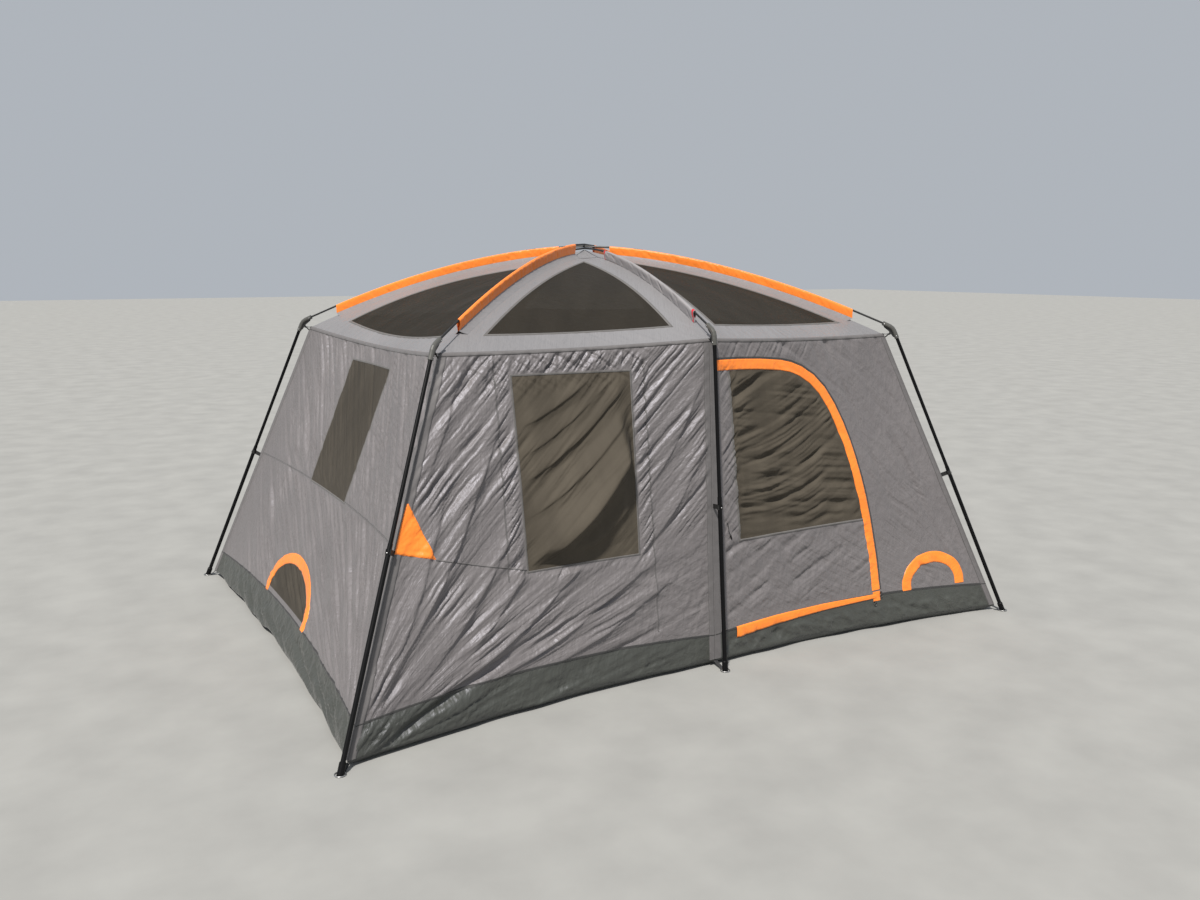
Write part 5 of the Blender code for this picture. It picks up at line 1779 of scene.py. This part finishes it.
def tub_skin(wall, s, share):
    """Points of the tub beside a wall; share is 0 at the floor, 1/3 at the base fold, 1 on top."""
    width, _ = cloth_size(wall)
    seed = wall_seed(wall, 5.3)
    scallop = 0.4 + 0.6 * NOISES["skirt"](s * width / 0.22 + seed, 0.5)
    hem = HEM_SCALLOP * bow_at(s) ** 0.25 * scallop
    base = wall_point(wall, s, 0 * s)
    low = base + hem[..., None] * (UP - 0.6 * outward(wall))
    top = skirt_share(wall, s)
    rise = np.clip((share - 1 / 3) * 1.5, 0, 1)
    upper = wall_skin(wall, s, rise * top) + ((1 - rise) ** 2)[..., None] * (low - base)
    across, up = s * width + seed, rise * TUB_RISE
    loose = crumple("crumple", across, up, 0.13, 0.012) + crumple("fine", across, up, 0.05, 0.004)
    if wall == "front_left":
        tension = Tension(*wall_plane(wall, s, rise * top), *pull_corners(wall), seed)
        radial = fold_family(tension, (0.40, 0.60, 0.50, 0.20), 0.7)
        away = smoothstep(0.15, 0.60, s)
        loose = radial * (1 - away) + loose * away
    loose = loose * bow_at(rise) ** 0.7 * smoothstep(0, 0.05, np.minimum(s, 1 - s))
    if wall == "front_right":
        loose = 2.2 * loose * (1 - smoothstep(0.45, 0.65, rise))
    upper = upper + loose[..., None] * outward(wall)
    feet = [foot_point(station) for station in WALLS[wall]]
    start, end = (foot + inward(foot) * FLOOR_INSET for foot in feet)
    inner = mix(start, end, s) - outward(wall) * draws(wall)[0] * bow_at(s)[..., None]
    inner[..., 2] = FLOOR_LIFT
    under = mix(inner, low, np.clip(share * 3, 0, 1))
    return np.where((share > 1 / 3)[..., None], upper, under)


def build_tub(material):
    """The raised floor sides, and the floor inside them."""
    rings = []
    for wall in WALLS:
        width, _ = cloth_size(wall)
        step, rows = (0.009, 28) if wall in SEEN_WALLS else (0.014, 18)
        columns = round(width / (step * COARSE))
        s, share = np.meshgrid(np.linspace(0, 1, columns + 1), np.linspace(0, 1, rows))
        skin = tub_skin(wall, s, share)
        uv = np.stack((s * width, share * TUB_DEPTH), -1)
        pull = pull_places(wall, s.ravel(), share.ravel() * 0.1)
        obj = grid_object(f"tub_side_{wall}", skin, uv, material, outward(wall), pull)
        place(obj)
        rings.append(skin[0, :-1])
    ring = np.concatenate(rings)
    centre = ring.mean(0)
    levels = np.linspace(1, 0.02, 26)
    grid = centre + (ring[None] - centre) * levels[:, None, None]
    swell = np.abs(NOISES["broad"](grid[..., 0] / 0.25, grid[..., 1] / 0.4))
    grid[..., 2] = FLOOR_LIFT + 0.0022 * swell
    grid[0, :, 2] = FLOOR_LIFT
    points = grid.reshape(-1, 3)
    faces = facing(points, grid_faces(len(levels), len(ring), closed=True), UP)
    obj = place(mesh_object("floor_cloth", points, faces, material, points[:, :2]))
    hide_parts("floor_tub")
    flat = np.ptp(points[:, :2], axis=0)
    round(float(flat.prod()) * 0.95, 3)


# Stage

CAMERA_PLACE = (-3.0365, -5.4293, 2.0609)
CAMERA_YAW = -30.112
CAMERA_PITCH = -10.384
CAMERA_ROLL = 0.110
CAMERA_LENS = 30.444
FLOOR_HALF = 60.0
SKY_COLOR = (0.86, 0.92, 1.0)
SKY_STRENGTH = 0.50
SUN_COLOR = (1.0, 0.96, 0.90)
SUN_STRENGTH = 5.4
SUN_WIDTH = 4
SUN_WAY = (0.42, 0.40, -0.82)


def build_camera():
    data = bpy.data.cameras.new("camera")
    data.sensor_width, data.lens, data.clip_end = 36.0, CAMERA_LENS, 200.0
    camera = new_object("camera", data)
    yaw, pitch, roll = (math.radians(v) for v in (CAMERA_YAW, CAMERA_PITCH, CAMERA_ROLL))
    level = math.cos(pitch)
    ahead = Vector((-math.sin(yaw) * level, math.cos(yaw) * level, math.sin(pitch)))
    right = Vector((math.cos(yaw), math.sin(yaw), 0.0))
    turn = Matrix((right, right.cross(ahead), -ahead)).transposed().to_4x4()
    camera.matrix_world = Matrix.Translation(CAMERA_PLACE) @ turn @ Matrix.Rotation(roll, 4, "Z")
    bpy.context.scene.camera = camera


def build_stage():
    """Pale floor, an even sky and one soft sun from the front left."""
    shader = Shader("pale floor")
    grain = shader.noise(shader.place(), 3.0, 4.0)
    share = shader.range(grain, *NOISE_SPAN, 0, 1)
    tone = shader.mixed(share, color((0.27, 0.27, 0.262)), color((0.31, 0.31, 0.30)))
    shader.set(Base_Color=tone, Roughness=0.9, Specular_IOR_Level=0.1)
    ways = ((-1, -1, 0), (1, -1, 0), (1, 1, 0), (-1, 1, 0))
    corners = FLOOR_HALF * np.array(ways, float)
    floor = mesh_object("floor", corners, np.array([[0, 1, 2, 3]]), shader.material, smooth=False)
    world = bpy.data.worlds.new("studio")
    world.use_nodes = True
    background = world.node_tree.nodes["Background"]
    background.inputs["Color"].default_value = color(SKY_COLOR)
    background.inputs["Strength"].default_value = SKY_STRENGTH
    bpy.context.scene.world = world
    sun = bpy.data.lights.new("key", "SUN")
    sun.energy, sun.angle, sun.color = SUN_STRENGTH, math.radians(SUN_WIDTH), SUN_COLOR
    turn = Vector(SUN_WAY).to_track_quat("-Z", "Y")
    new_object("key", sun).rotation_euler = turn.to_euler()
    view = bpy.context.scene.view_settings
    view.view_transform, view.exposure = "Standard", 0.0


def finish_nodes(materials):
    """Finishes of the frame's own nodes, by how their names start."""
    finishes = {
        "crown_rod": "rod", "roof_rod": "rod", "elbow": "elbow", "upper_leg": "leg",
        "lower_leg": "leg", "leg_clip": "plastic", "door_slider": "zip_metal",
    }
    for name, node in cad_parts.items():
        for start, finish in finishes.items():
            if name.startswith(start):
                node.data.materials.clear()
                node.data.materials.append(materials[finish])


def main():
    build_camera()
    materials = make_materials()
    finish_nodes(materials)
    build_walls(materials)
    build_tub(materials["tub"])
    for wall in WALLS:
        build_roof(wall, materials)
        roof_binding(wall, materials["binding"])
        eave_strip(wall, materials["tape"])
        skirt_strip(wall, materials["dark_tape"])
        build_crown(wall, materials["roof"])
    build_bands(materials)
    build_tie(materials)
    for station in STATIONS:
        corner_strip(station, materials["tape"])
        build_sleeve(station, materials)
        build_hardware(station, materials)
    build_stage()


main()
